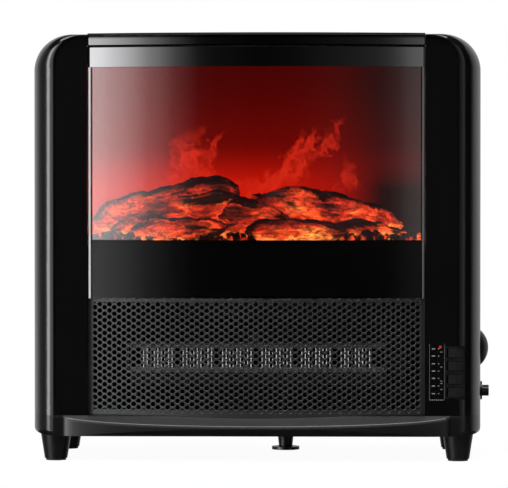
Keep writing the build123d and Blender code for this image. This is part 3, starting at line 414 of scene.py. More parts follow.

# %% [markdown]
# ## Dressing the nodes
# Each node takes the finish of its material slot. The tray's ledge is painted lighter in a zone, as painted
# light, and the metal behind the grille is painted darker than the rest of its slot, as painted shade, so that
# only the fins show through the holes.

# %% Put each finish on its nodes
OWN_FINISHES = (
    ("base_tray", "tray_satin", (0.0026, 0.0026, 0.0027), 0.12,
     dict(bump=0.02, spread=0.05, specular=0.3, zones=tray_painted_light_zones)),
    # The duct, cut-out, shaft, blower wheel and blower housing are near black: painted shade behind the grille.
    ("heater_duct", "duct_shade_dark", (0.03, 0.03, 0.032), 0.5, dict(grain=500.0, bump=0.08, metallic=0.5)),
    ("thermal_cutout", "cutout_black", (0.006, 0.006, 0.006), 0.6,
     dict(grain=500.0, bump=0.05, specular=0.2)),
    ("blower_shaft", "shaft_shade_dark", (0.03, 0.03, 0.03), 0.5, dict(grain=500.0, bump=0.05)),
    ("blower_wheel", "wheel_black", (0.008, 0.008, 0.008), 0.55, dict(grain=500.0, bump=0.08)),
    ("blower_housing", "housing_shade_dark", (0.02, 0.02, 0.022), 0.55,
     dict(grain=500.0, bump=0.08, metallic=0.4)),
)
own = {node: hard_finish(name, colour, gloss, **more) for node, name, colour, gloss, more in OWN_FINISHES}
for entry in frame["record"]["subparts"]:
    finish = own.get(entry["node"], finishes.get(entry["material_slot"]))
    if finish:
        for socket in frame["nodes"][entry["node"]].material_slots:
            socket.material = finish

# %% [markdown]
# ## The perforated grille
# The outlet is a bowed steel sheet punched with more than a thousand round holes in staggered columns. Cutting
# that many holes would be slow and messy. Instead one cell is drawn, a six-sided tile with a round hole whose
# edge is rolled in, and Geometry Nodes lays the tile on two staggered grids, welds the edges and bends the sheet
# to the bow.

# %% Measure the sheet
grille_low, grille_high = box_of("outlet_grille")
SHEET_THICK = 0.0012
SHEET_WALL = SHEET_THICK * 0.8
HOLE_PITCH = 0.00636
COLUMN_STEP = 0.00484
HOLE_RADIUS = 0.0022
ROLLED_EDGE = 0.0003
RING_POINTS = 18
sheet_half = (grille_high.x - grille_low.x) / 2
sheet_sag = grille_high.y - grille_low.y - SHEET_THICK
BOW_RADIUS = (sheet_half ** 2 + sheet_sag ** 2) / (2 * sheet_sag)
print("bow radius", round(BOW_RADIUS, 3), "sheet", [round(value, 4) for value in grille_high - grille_low])


def bow(x):
    return BOW_RADIUS - math.sqrt(BOW_RADIUS ** 2 - x ** 2)


# %% Draw one tile: a six-sided edge around a round hole
near = (COLUMN_STEP ** 2 - HOLE_PITCH ** 2 / 4) / (2 * COLUMN_STEP)
far = (COLUMN_STEP ** 2 + HOLE_PITCH ** 2 / 4) / (2 * COLUMN_STEP)
half_pitch = HOLE_PITCH / 2
rim_corners = [
    (far, 0), (near, half_pitch), (-near, half_pitch), (-far, 0), (-near, -half_pitch), (near, -half_pitch)]
tile_points, tile_faces = [], []
for index in range(RING_POINTS):
    side, step = divmod(index, RING_POINTS // 6)
    start, end = Vector(rim_corners[side]), Vector(rim_corners[(side + 1) % 6])
    edge = start.lerp(end, step * 6 / RING_POINTS)
    hole = edge.normalized() * HOLE_RADIUS
    shoulder = edge.normalized() * (HOLE_RADIUS + ROLLED_EDGE)
    rings = [(edge, 0), (shoulder, 0), (hole, ROLLED_EDGE), (hole, SHEET_WALL), (edge, SHEET_WALL)]
    tile_points += [(place.x, depth, place.y) for place, depth in rings]
    here, there = len(rings) * index, len(rings) * ((index + 1) % RING_POINTS)
    for ring in range(len(rings) - 1):
        tile_faces.append((here + ring, there + ring, there + ring + 1, here + ring + 1))
tile_mesh = bpy.data.meshes.new("grille_tile")
tile_mesh.from_pydata(tile_points, [], tile_faces)
print("tile faces", len(tile_faces))


# %% Helpers for Geometry Nodes
F, V, I, M = "NodeSocketFloat", "NodeSocketVector", "NodeSocketInt", "NodeSocketMaterial"


def new_tree(name, sockets):
    tree = bpy.data.node_groups.new(name, "GeometryNodeTree")
    tree.interface.new_socket("Geometry", in_out="INPUT", socket_type="NodeSocketGeometry")
    for label, kind in sockets:
        tree.interface.new_socket(label, in_out="INPUT", socket_type=kind)
    tree.interface.new_socket("Geometry", in_out="OUTPUT", socket_type="NodeSocketGeometry")
    return tree, add(tree, "NodeGroupInput").outputs


def real_copies(tree, points, instance, **more):
    inputs = {"Points": points, "Instance": instance, **more}
    copies = add(tree, "GeometryNodeInstanceOnPoints", inputs)
    return add(tree, "GeometryNodeRealizeInstances", {"Geometry": copies.outputs[0]}).outputs[0]


def close_tree(tree, geometry, finish):
    coated = add(tree, "GeometryNodeSetMaterial", {"Geometry": geometry, "Material": finish})
    add(tree, "NodeGroupOutput", {0: coated.outputs[0]})


def baked(thing):
    return bpy.data.meshes.new_from_object(thing.evaluated_get(bpy.context.evaluated_depsgraph_get()))


def apply_tree(name, mesh, tree, values):
    made = bpy.data.objects.new(name, mesh)
    scene.collection.objects.link(made)
    shaper = made.modifiers.new(name, "NODES")
    shaper.node_group = tree
    for item in tree.interface.items_tree:
        if item.in_out == "INPUT" and item.name in values:
            shaper[item.identifier] = values[item.name]
    result = baked(made)
    made.modifiers.clear()
    made.data = result
    result.name = name
    return made


def on_case(piece, node=None):
    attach(piece, "case")
    if node:
        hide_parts(node)


# %% A tree that lays, welds and bends the tiles
tree, given = new_tree("perforated_sheet", (
    ("Columns", I), ("Rows", I), ("Column Step", F), ("Hole Pitch", F), ("Bow Radius", F), ("Half Width", F),
    ("Place", V), ("Finish", M)))


def staggered_grid(columns, rows):
    double_step = math_node(tree, "MULTIPLY", given["Column Step"], 2.0)
    width = math_node(tree, "MULTIPLY", math_node(tree, "SUBTRACT", columns, 1.0), double_step)
    height = math_node(tree, "MULTIPLY", math_node(tree, "SUBTRACT", rows, 1.0), given["Hole Pitch"])
    grid = add(tree, "GeometryNodeMeshGrid", {
        "Size X": width, "Size Y": height, "Vertices X": columns, "Vertices Y": rows})
    return add(tree, "GeometryNodeTransform", {
        "Geometry": grid.outputs["Mesh"], "Rotation": (math.pi / 2, 0, 0)}).outputs[0]


even = staggered_grid(given["Columns"], given["Rows"])
odd = staggered_grid(
    math_node(tree, "SUBTRACT", given["Columns"], 1.0), math_node(tree, "SUBTRACT", given["Rows"], 1.0))
points = add(tree, "GeometryNodeJoinGeometry")
tree.links.new(even, points.inputs[0])
tree.links.new(odd, points.inputs[0])
real = real_copies(tree, points.outputs[0], given["Geometry"])
welded = add(tree, "GeometryNodeMergeByDistance", {"Geometry": real, "Distance": 0.00005})
across = axes(tree, add(tree, "GeometryNodeInputPosition").outputs[0])["X"]
radius_squared = math_node(tree, "MULTIPLY", given["Bow Radius"], given["Bow Radius"])
under_root = math_node(tree, "SUBTRACT", radius_squared, math_node(tree, "MULTIPLY", across, across))
drop = math_node(tree, "SUBTRACT", given["Bow Radius"], math_node(tree, "SQRT", under_root))
left_end = math_node(tree, "MULTIPLY", given["Half Width"], -1.0)
held_x = math_node(tree, "MAXIMUM", math_node(tree, "MINIMUM", across, given["Half Width"]), left_end)
pull = math_node(tree, "SUBTRACT", held_x, across)
bent = add(tree, "GeometryNodeSetPosition", {
    "Geometry": welded.outputs[0], "Offset": joined(tree, X=pull, Y=drop)})
placed = add(tree, "GeometryNodeTransform", {"Geometry": bent.outputs[0], "Translation": given["Place"]})
close_tree(tree, placed.outputs[0], given["Finish"])
print("sheet nodes", len(tree.nodes))

# %% Make the sheet
even_columns = int((sheet_half - HOLE_RADIUS) / COLUMN_STEP) + 1
rows = int((grille_high.z - LEDGE_TOP - HOLE_PITCH) / HOLE_PITCH) + 1
sheet_middle_z = (LEDGE_TOP + grille_high.z) / 2 + 0.0012
grille_sheet = apply_tree("grille_sheet", tile_mesh, tree, {
    "Columns": even_columns, "Rows": rows, "Column Step": COLUMN_STEP, "Hole Pitch": HOLE_PITCH,
    "Bow Radius": BOW_RADIUS, "Half Width": sheet_half, "Place": (MIDDLE_X, grille_low.y, sheet_middle_z),
    "Finish": finishes["black_sheet"]})
holes = even_columns * rows + (even_columns - 1) * (rows - 1)
print("grille holes", holes, "faces", len(grille_sheet.data.polygons))

# %% Make its plain border
BORDER_STEPS = 48
BORDER_BACK = 0.0002
FOOT_GAP = 0.0003
border_points, border_faces = [], []
reach_x = (even_columns - 1) * COLUMN_STEP + 0.0018
field_low = sheet_middle_z - (rows - 1) * HOLE_PITCH / 2 + 0.001
field_high = sheet_middle_z + (rows - 1) * HOLE_PITCH / 2 - 0.001


def border_strip(x0, x1, low, high, steps):
    first = len(border_points)
    for step in range(steps + 1):
        x = x0 + (x1 - x0) * step / steps
        y = grille_low.y + bow(x) + BORDER_BACK
        foot = min(LEDGE_TOP, LEDGE_TOP + (y - RIM_Y) * LEDGE_SLOPE) + FOOT_GAP if low is None else low
        border_points.extend([(MIDDLE_X + x, y, foot), (MIDDLE_X + x, y, high)])
    for corner in range(first, first + 2 * steps, 2):
        border_faces.append((corner, corner + 2, corner + 3, corner + 1))


border_strip(-sheet_half, sheet_half, None, field_low, BORDER_STEPS)
border_strip(-sheet_half, sheet_half, field_high, grille_high.z, BORDER_STEPS)
border_strip(-sheet_half, -reach_x, field_low, field_high, 2)
border_strip(reach_x, sheet_half, field_low, field_high, 2)
border_mesh = bpy.data.meshes.new("grille_border")
border_mesh.from_pydata(border_points, [], border_faces)
border_mesh.materials.append(finishes["black_sheet"])
grille_border = bpy.data.objects.new("grille_border", border_mesh)
scene.collection.objects.link(grille_border)
wall = grille_border.modifiers.new("wall", "SOLIDIFY")
wall.thickness = SHEET_WALL
wall.offset = -1.0
on_case(grille_border, "outlet_grille")
on_case(grille_sheet, "outlet_grille")
print("border faces", len(border_faces))

# %% [markdown]
# ## Heater fins
# Behind the holes the heater shows as six blocks of thin upright fins with bars between them, which are painted
# dark as shade. One fin is a plain thin plate. Geometry Nodes works out each copy's place from its number: whole
# blocks first, then the fins inside a block.

# %% One fin
fins_low, fins_high = box_of("heater_fins")
FIN_BLOCKS, FINS_PER_BLOCK = 6, 9
FIN_THICK = 0.0009
FIN_REACH = 0.93
BLOCK_FILL = 0.72
block_step = FIN_REACH * (fins_high.x - fins_low.x) / FIN_BLOCKS
fin_step = block_step * BLOCK_FILL / (FINS_PER_BLOCK - 1)
fin_size = (FIN_THICK, fins_high.y - fins_low.y, fins_high.z - fins_low.z)
fin_shell = bmesh.new()
bmesh.ops.create_cube(fin_shell, size=1.0)
bmesh.ops.scale(fin_shell, vec=fin_size, verts=fin_shell.verts)
fin_mesh = bpy.data.meshes.new("heater_fin")
fin_shell.to_mesh(fin_mesh)
fin_shell.free()
print("fin mm", [round(value * 1000, 1) for value in fin_size])

# %% Set the fins out in blocks
tree, given = new_tree("fin_blocks", (
    ("Blocks", I), ("Fins Per Block", I), ("Fin Step", F), ("Block Step", F), ("Place", V), ("Finish", M)))
per_block = given["Fins Per Block"]
count = math_node(tree, "MULTIPLY", given["Blocks"], per_block)
line = add(tree, "GeometryNodeMeshLine", {"Count": count, "Offset": (0, 0, 0)})
number = add(tree, "GeometryNodeInputIndex").outputs[0]
block = math_node(tree, "FLOOR", math_node(tree, "DIVIDE", math_node(tree, "ADD", number, 0.5), per_block))
within = math_node(tree, "SUBTRACT", number, math_node(tree, "MULTIPLY", block, per_block))
block_x = math_node(tree, "MULTIPLY", block, given["Block Step"])
shift = joined(tree, X=math_node(tree, "MULTIPLY_ADD", within, given["Fin Step"], block_x))
target = add(tree, "ShaderNodeVectorMath", {0: shift, 1: given["Place"]}, operation="ADD").outputs[0]
set_out = add(tree, "GeometryNodeSetPosition", {"Geometry": line.outputs[0], "Position": target})
close_tree(tree, real_copies(tree, set_out.outputs[0], given["Geometry"]), given["Finish"])
fin_place = (fins_low + fins_high) / 2
fin_place.x -= (block_step * (FIN_BLOCKS - 1) + fin_step * (FINS_PER_BLOCK - 1)) / 2
fin_pack = apply_tree("heater_fin_pack", fin_mesh, tree, {
    "Blocks": FIN_BLOCKS, "Fins Per Block": FINS_PER_BLOCK, "Fin Step": fin_step, "Block Step": block_step,
    "Place": tuple(fin_place), "Finish": finishes["fin_aluminium"]})
on_case(fin_pack, "heater_fins")
print("fins", FIN_BLOCKS * FINS_PER_BLOCK, "step mm", round(fin_step * 1000, 2))

# %% [markdown]
# ## Logs and embers
# The logs are cast resin, lit from below by the lamp board. The solid model has them as plain tapered rods, so
# each is copied, remeshed to a fine even skin and pushed in and out by seeded noise: long ridges that run along
# the log, and the blocky cracks of charred wood. Two values are kept for each point, how charred it is and how
# strongly it glows, and the material reads them. The glow is painted light: emission that stands in for the lamp
# light shining up through the resin.

# %% The glowing resin
resin, tree, place = new_material("ember_resin")


def stretched(x_scale):
    return add(tree, "ShaderNodeMapping", {"Vector": place, "Scale": (x_scale, 1.0, 1.0)}).outputs[0]


char = add(tree, "ShaderNodeAttribute", attribute_name="char").outputs["Fac"]
lamp_glow = add(tree, "ShaderNodeAttribute", attribute_name="glow_level").outputs["Fac"]
fibre = add(tree, "ShaderNodeTexNoise", {
    "Vector": stretched(0.22), "Scale": 420.0, "Detail": 5.0, "Roughness": 0.65}).outputs["Fac"]
burnt = ramped(tree, math_node(tree, "MULTIPLY_ADD", fibre, 0.7, char), 0.56, 0.86)
warmth = math_node(tree, "MULTIPLY_ADD", fibre, 0.75, math_node(tree, "MULTIPLY_ADD", lamp_glow, 0.85, -0.42))
glow = add(tree, "ShaderNodeValToRGB", {"Fac": warmth})
ramp = glow.color_ramp.elements
ramp[0].position, ramp[0].color = 0.0, (0.02, 0.001, 0.0005, 1)
ramp[1].position, ramp[1].color = 1.0, (1.0, 0.62, 0.12, 1)
for position, colour in ((0.18, (0.16, 0.008, 0.003, 1)), (0.38, (0.55, 0.024, 0.007, 1)),
                         (0.62, (0.9, 0.075, 0.016, 1)), (0.82, (1.0, 0.22, 0.04, 1))):
    ramp.new(position).color = colour
bark = mixed(tree, fibre, (0.002, 0.001, 0.001, 1), (0.05, 0.024, 0.03, 1))
cracks = add(tree, "ShaderNodeTexVoronoi", {
    "Vector": stretched(0.4), "Scale": 170.0, "Randomness": 1.0}, feature="DISTANCE_TO_EDGE")
frayed = math_node(tree, "MULTIPLY_ADD", fibre, 0.16, cracks.outputs["Distance"])
open_skin = ramped(tree, frayed, 0.06, 0.13, 0.15)
patch = add(tree, "ShaderNodeTexNoise", {
    "Vector": stretched(0.5), "Scale": 120.0, "Detail": 4.0, "Roughness": 0.7, "Distortion": 0.8})
dull = ramped(tree, patch.outputs["Fac"], 0.4, 0.6, 0.22)
unburnt = math_node(tree, "MULTIPLY", math_node(tree, "SUBTRACT", 1.0, burnt), open_skin)
lit = math_node(tree, "MULTIPLY", unburnt, dull)
raised = add(tree, "ShaderNodeBump", {"Height": fibre, "Strength": 0.6, "Distance": 0.0012})
# Painted light: the emission stands in for lamp light shining up through the resin.
close_material(tree, add(tree, "ShaderNodeBsdfPrincipled", {
    "Base Color": bark, "Roughness": 0.6, "Normal": raised.outputs[0], "Emission Color": glow.outputs[0],
    "Emission Strength": math_node(tree, "MULTIPLY_ADD", lit, 2.4, 0.02)}))
finishes["ember_resin"] = resin
print("resin nodes", len(tree.nodes))

# %% Start a piece: an even skin, and the middle of its two ends
EMBER_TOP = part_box("ember_bed")[0][2] + 0.009
WELD = 0.00002
END_SLICE = 0.01
print("ember top", round(EMBER_TOP, 4))


def clamped(value):
    return min(1.0, max(0.0, value))


def even_skin(name, source, voxel):
    shell = bmesh.new()
    shell.from_mesh(source)
    bmesh.ops.remove_doubles(shell, verts=shell.verts, dist=WELD)
    plain = bpy.data.meshes.new(name)
    shell.to_mesh(plain)
    shell.free()
    made = bpy.data.objects.new(name, plain)
    scene.collection.objects.link(made)
    skin = made.modifiers.new("skin", "REMESH")
    skin.mode = "VOXEL"
    skin.voxel_size = voxel
    made.data = baked(made)
    made.modifiers.clear()
    made.data.materials.clear()
    return made


def end_middle(mesh, runs, start):
    inside = [vertex.co for vertex, run in zip(mesh.vertices, runs) if start <= run <= start + END_SLICE]
    return sum(inside, Vector()) / len(inside)


def keep_char_and_glow(mesh, chars, point_glows):
    mesh.attributes.new("char", "FLOAT", "POINT").data.foreach_set("value", chars)
    mesh.attributes.new("glow_level", "FLOAT", "POINT").data.foreach_set("value", point_glows)
    mesh.shade_smooth()


# %% Sculpt one piece of the fire
def glowing_piece(name, source, low, high, voxel, along, seed, ridge, crack, block_size, node=None, taper=0.6):
    made = even_skin(name, source, voxel)
    mesh = made.data
    along = Vector(along).normalized()
    runs = [vertex.co.dot(along) for vertex in mesh.vertices]
    first_run, last_run = min(runs), max(runs)
    first_end, last_end = end_middle(mesh, runs, first_run), end_middle(mesh, runs, last_run - END_SLICE)
    offset = Vector((seed * 7.3, seed * 3.1, seed * 1.7))
    moves, chars, point_glows = [], [], []
    for vertex in mesh.vertices:
        spot, normal = vertex.co, vertex.normal
        run = spot.dot(along)
        across = spot - along * run
        # The skin: fibres along the log, lumps, broken plates, and cracks between blocks of char.
        grain = noise.fractal(along * (run * 18) + across * 140 + offset, 0.7, 2.1, 6)
        lump = noise.noise(spot * 38 + offset)
        swell = noise.noise(spot * 15 + offset * 4)
        chip = abs(noise.noise(along * (run * 45) + across * 85 + offset * 3))
        bend = Vector((lump, grain, lump)) * 0.3
        cells = noise.voronoi(along * (run / block_size * 0.35) + across / block_size + offset + bend)[0]
        gap = min(1.0, (cells[1] - cells[0]) / 0.16)
        plate = math.floor(4 * noise.noise(along * (run * 48) + across * 62 + offset * 5)) / 4
        relief = 0.8 * grain + 1.1 * lump + 1.4 * swell + 2.4 * plate - 1.1 * chip
        depth = ridge * relief - crack * (1 - gap) ** 2
        # The ends are drawn in towards the middle line.
        end = max(0.0, 1 - min(run - first_run, last_run - run) / 0.024)
        core = first_end.lerp(last_end, (run - first_run) / (last_run - first_run))
        pull = taper * end ** 2 * (1 + 0.5 * lump)
        moves.append(spot + normal * depth - (spot - core) * pull)
        # Char gathers on top and at the ends; the painted glow gathers low down, towards the lamps, and in the
        # cracks.
        rise = (spot.z - low.z) / (high.z - low.z)
        low_glow = max(0.0, 1 - (spot.z - EMBER_TOP) / 0.02)
        foot = clamped((EMBER_TOP - 0.003 - spot.z) / 0.002)
        chars.append(clamped(
            0.75 * max(0.0, normal.z) ** 3 + 0.75 * lump + 0.5 * grain - 0.35 * plate + 0.35 * (rise - 0.75)
            + 0.5 * end + 1.2 * foot))
        point_glows.append(clamped(
            0.5 + 0.6 * noise.noise(spot * 30 + offset * 2) + 0.35 * grain - 0.15 * rise + 0.2 * (1 - gap)
            + 0.5 * low_glow))
    for vertex, spot in zip(mesh.vertices, moves):
        vertex.co = [min(high[axis], max(low[axis], spot[axis])) for axis in range(3)]
    keep_char_and_glow(mesh, chars, point_glows)
    mesh.materials.append(finishes["ember_resin"])
    on_case(made, node)
    print(name, "faces", len(mesh.polygons))


# %% Sculpt the four logs and the bed
# Node, voxel, direction, seed, height of the ridges, depth of the cracks, size of a block, taper of the ends.
FIRE_NODES = (
    ("log_left", 0.0011, (149, 0, 28), 1, 0.0021, 0.0024, 0.016, 0.6),
    ("log_right", 0.0011, (158, 0, -23), 2, 0.0021, 0.0024, 0.016, 0.6),
    ("log_front_left", 0.0009, (98, 0, 4), 3, 0.0018, 0.002, 0.012, 0.6),
    ("log_front_right", 0.0009, (106, 0, -2), 4, 0.0018, 0.002, 0.012, 0.6),
    ("ember_bed", 0.0016, (1, 0, 0), 5, 0.0012, 0.0012, 0.009, 0.0),
)
for node, voxel, along, seed, ridge, crack, block_size, taper in FIRE_NODES:
    low, high = box_of(node)
    glowing_piece(node + "_charred", frame["nodes"][node].data, low, high, voxel, along, seed, ridge, crack,
              block_size, node, taper)

# %% Four split pieces wedged between the logs
# Name, start and end from the middle of the rim, radius at each end, seed.
SPLITS = (
    ("split_middle", (-0.042, 0.060, 0.250), (0.034, 0.056, 0.236), 0.015, 0.017, 6),
    ("split_low", (-0.052, 0.058, 0.226), (0.014, 0.058, 0.229), 0.011, 0.011, 9),
    ("split_left", (-0.150, 0.048, 0.227), (-0.088, 0.050, 0.239), 0.008, 0.011, 7),
    ("split_right", (0.076, 0.050, 0.232), (0.152, 0.046, 0.226), 0.011, 0.007, 8),
)
for name, start, end, first_radius, last_radius, seed in SPLITS:
    start = Vector(start) + Vector((MIDDLE_X, RIM_Y, 0))
    end = Vector(end) + Vector((MIDDLE_X, RIM_Y, 0))
    shell = bmesh.new()
    bmesh.ops.create_cone(
        shell, cap_ends=True, segments=14, radius1=first_radius, radius2=last_radius,
        depth=(end - start).length)
    turn = (end - start).to_track_quat("Z", "Y").to_matrix().to_4x4()
    shell.transform(Matrix.Translation((start + end) / 2) @ turn)
    rough = bpy.data.meshes.new(name)
    shell.to_mesh(rough)
    shell.free()
    low = Vector([min(vertex.co[axis] for vertex in rough.vertices) for axis in range(3)])
    high = Vector([max(vertex.co[axis] for vertex in rough.vertices) for axis in range(3)])
    glowing_piece(name, rough, low, high, voxel=0.001, along=end - start, seed=seed, ridge=0.002, crack=0.0022,
              block_size=0.012)

# %% [markdown]
# ## Flames on the screen
# The flames are light thrown on a screen behind the logs by a turning shaft of metal flags. Only the screen
# glows, so the flames are a material: a dark red field that brightens towards the logs, with flame tongues laid
# on it. One shader group draws a tongue, and the material places it several times with its own foot, height and
# lean.

# %% The tongue group
TONGUE_INPUTS = ("Foot X", "Foot Z", "Height", "Width", "Lean", "Curl", "Seed")


def tongue_group():
    group, given = new_group("flame_tongue", TONGUE_INPUTS, ("Mask",))
    spot = axes(group, given["Vector"])
    swirl = add(group, "ShaderNodeTexNoise", {
        "Vector": joined(group, X=spot["X"], Y=given["Seed"], Z=spot["Z"]),
        "Scale": 30.0, "Detail": 4.0, "Roughness": 0.6}).outputs
    turn = axes(group, swirl["Color"])

    def bent(axis, swing, amount):
        sway = math_node(group, "SUBTRACT", turn[swing], 0.5)
        reach = math_node(group, "MULTIPLY", given["Curl"], amount)
        return math_node(group, "MULTIPLY_ADD", sway, reach, spot[axis])

    bent_x, bent_z = bent("X", "X", 2.4), bent("Z", "Y", 1.8)
    climb = math_node(
        group, "DIVIDE", math_node(group, "SUBTRACT", bent_z, given["Foot Z"]), given["Height"])
    middle = math_node(group, "MULTIPLY_ADD", climb, given["Lean"], given["Foot X"])
    slow_z = math_node(group, "MULTIPLY", bent_z, 0.4)
    thread = add(group, "ShaderNodeTexNoise", {
        "Vector": joined(group, X=bent_x, Y=given["Seed"], Z=slow_z),
        "Scale": 120.0, "Detail": 3.0, "Roughness": 0.6, "Distortion": 0.6}).outputs["Fac"]
    streak = ramped(group, thread, 0.36, 0.62, 0.25)
    taper = math_node(group, "MAXIMUM", math_node(group, "MULTIPLY_ADD", climb, -0.7, 1.0), 0.2)
    half_width = math_node(group, "MULTIPLY", given["Width"], taper)
    off = math_node(group, "ABSOLUTE", math_node(group, "SUBTRACT", bent_x, middle))
    side = math_node(group, "SUBTRACT", 1.0, math_node(group, "DIVIDE", off, half_width))
    torn = math_node(group, "MULTIPLY_ADD", math_node(group, "SUBTRACT", thread, 0.5), 1.2, side)
    body = smoothed(group, torn, 0.0, 0.7)
    tip = smoothed(group, climb, 1.1, 0.55)
    foot = smoothed(group, climb, -0.3, 0.1)
    flame = math_node(group, "MULTIPLY", body, tip)
    mask = math_node(group, "MULTIPLY", flame, math_node(group, "MULTIPLY", foot, streak))
    add(group, "NodeGroupOutput", {"Mask": mask})
    return group


flame_tongue = tongue_group()
print("tongue nodes", len(flame_tongue.nodes))

# %% The red field
flames, tree, place = new_material("flame_glow")
spot = axes(tree, place)
from_middle = math_node(tree, "SUBTRACT", spot["X"], MIDDLE_X)
rise = smoothed(tree, spot["Z"], 0.395, 0.255)
field = mixed(tree, rise, (0.078, 0.0008, 0.0003, 1), (0.25, 0.0025, 0.0008, 1))
near_logs = smoothed(tree, spot["Z"], 0.318, 0.262)
to_right = smoothed(tree, from_middle, 0.0, 0.07, 1.0, 0.52)
field = mixed(tree, math_node(tree, "MULTIPLY", near_logs, to_right), field, (0.72, 0.009, 0.002, 1))
corner = ramped(tree, spot["Z"], 0.27, 0.3, 0.03, 0.3)
dimmed = mixed(tree, smoothed(tree, from_middle, 0.062, 0.132), (1, 1, 1, 1), corner)
field = mixed(tree, 1.0, field, dimmed, "MULTIPLY")
left_pool = smoothed(tree, from_middle, -0.055, -0.15, 0.0, 0.15)
field = mixed(tree, left_pool, field, (1.0, 0.012, 0.004, 1))
print("field nodes", len(tree.nodes))

# %% The tongues on the field
# Foot X from the middle, foot Z, height, width, lean, curl, seed, strength.
TONGUES = (
    (-0.084, 0.268, 0.062, 0.034, 0.020, 0.030, 1.0, 1.0),
    (-0.062, 0.282, 0.052, 0.016, 0.020, 0.034, 2.0, 0.8),
    (0.006, 0.264, 0.066, 0.020, 0.046, 0.030, 3.0, 1.0),
    (0.034, 0.286, 0.056, 0.024, 0.028, 0.034, 4.0, 1.0),
    (0.058, 0.302, 0.044, 0.014, 0.030, 0.030, 5.0, 0.7),
    (0.090, 0.272, 0.034, 0.016, 0.004, 0.024, 6.0, 0.6),
    (-0.020, 0.252, 0.034, 0.060, 0.000, 0.024, 7.0, 0.6),
    (-0.125, 0.245, 0.036, 0.040, 0.010, 0.024, 8.0, 0.5),
)
cover = 0.0
for foot_x, *shape, strength in TONGUES:
    inputs = dict(zip(TONGUE_INPUTS, (MIDDLE_X + foot_x, *shape)))
    tongue = add(tree, "ShaderNodeGroup", {"Vector": place, **inputs}, node_tree=flame_tongue)
    cover = math_node(tree, "MAXIMUM", cover, math_node(tree, "MULTIPLY", tongue.outputs[0], strength))
burning = mixed(tree, cover, field, (0.85, 0.026, 0.009, 1))
close_material(tree, add(tree, "ShaderNodeBsdfPrincipled", {
    "Base Color": (0, 0, 0, 1), "Roughness": 0.7, "Specular IOR Level": 0.0,
    "Emission Color": burning, "Emission Strength": 1.15}))
for socket in frame["nodes"]["flame_screen"].material_slots:
    socket.material = flames
print("flame tongues", len(TONGUES))

# %% [markdown]
# ## Loose embers
# Broken coals lie along the front of the bed and hide where the logs meet it. One coal is sculpted, and Geometry
# Nodes strews it along a line with a seeded turn, size and step to the side, so no two look alike. The char and
# glow values of the coal travel with each copy.

# %% One coal
ball = bmesh.new()
bmesh.ops.create_icosphere(ball, subdivisions=4, radius=1.0)
coal_mesh = bpy.data.meshes.new("coal")
ball.to_mesh(coal_mesh)
ball.free()
coal_char, coal_glow = [], []
for vertex in coal_mesh.vertices:
    spot = vertex.co.copy()
    facet = noise.voronoi(spot * 1.3)[0]
    lump = noise.noise(spot * 1.7)
    vertex.co = spot * (0.8 + 0.35 * lump + 0.25 * facet[0])
    # Char is heavier on top; the glow, painted light from the lamps below, is strongest on the underside.
    coal_char.append(clamped(0.6 + 0.6 * spot.z + 0.5 * lump))
    coal_glow.append(clamped(0.35 - 0.5 * spot.z + 0.6 * noise.noise(spot * 2.6)))
keep_char_and_glow(coal_mesh, coal_char, coal_glow)
print("coal faces", len(coal_mesh.polygons))

# %% Strew the coals
COALS = 64
COAL_INSET = 0.008
tree, given = new_tree("strewn_coals", (
    ("Count", I), ("Start", V), ("Step", V), ("Stray", V), ("Smallest", F), ("Largest", F), ("Seed", I),
    ("Finish", M)))


def random_node(low, high, kind, first=0):
    inputs = {first: low, first + 1: high, "Seed": given["Seed"]}
    return add(tree, "FunctionNodeRandomValue", inputs, data_type=kind).outputs[first // 2]


line = add(tree, "GeometryNodeMeshLine", {
    "Count": given["Count"], "Start Location": given["Start"], "Offset": given["Step"]})
back = add(tree, "ShaderNodeVectorMath", {0: given["Stray"], "Scale": -1.0}, operation="SCALE").outputs[0]
stray = random_node(back, given["Stray"], "FLOAT_VECTOR")
spread = add(tree, "GeometryNodeSetPosition", {"Geometry": line.outputs[0], "Offset": stray})
turn = random_node((0, 0, 0), (6.28, 0.5, 6.28), "FLOAT_VECTOR")
grow = random_node(given["Smallest"], given["Largest"], "FLOAT", 2)
strewn = real_copies(tree, spread.outputs[0], given["Geometry"], Rotation=turn, Scale=grow)
close_tree(tree, strewn, given["Finish"])
bed_low, bed_high = box_of("ember_bed")
coal_start = Vector((bed_low.x + COAL_INSET, bed_low.y + 0.009, bed_low.z + 0.012))
coal_step = (bed_high.x - bed_low.x - 2 * COAL_INSET) / (COALS - 1)
loose_coals = apply_tree("loose_coals", coal_mesh, tree, {
    "Count": COALS, "Start": tuple(coal_start), "Step": (coal_step, 0, 0), "Stray": (0.003, 0.005, 0.0015),
    "Smallest": 0.003, "Largest": 0.0066, "Seed": 11, "Finish": finishes["ember_resin"]})
on_case(loose_coals)
print("loose coals", COALS, "faces", len(loose_coals.data.polygons))

# %% [markdown]
# ## Small things on the case
# The control legend is printed on the right pillar: plain dots and bars, laid by one Geometry Nodes tree each
# from a list of places. The chin has a rolled brow that catches the overhead light, and its colour is lighter
# than the tray's as a painted highlight. A blanking plug closes the cord gland. The glass has black seals behind
# its ends and top, and a thin bead in front of each end. The left bead is painted paler, as a painted
# reflection: the bright line along that edge of the glass.

# %% Printed legend
PILLAR_Y = RIM_Y + 0.0025
INK = 0.0001
legend_paint = hard_finish("legend_grey", (0.075, 0.075, 0.075), 0.6, grain=2500.0, bump=0.02, tint=0.8)


def on_pillar(pixel_x, pixel_y):
    x = MIDDLE_X + (pixel_x - BODY_PIXEL_X) * PIXEL
    return (x, PILLAR_Y - 0.00006, (FLOOR_PIXEL_Y - pixel_y) * PIXEL)


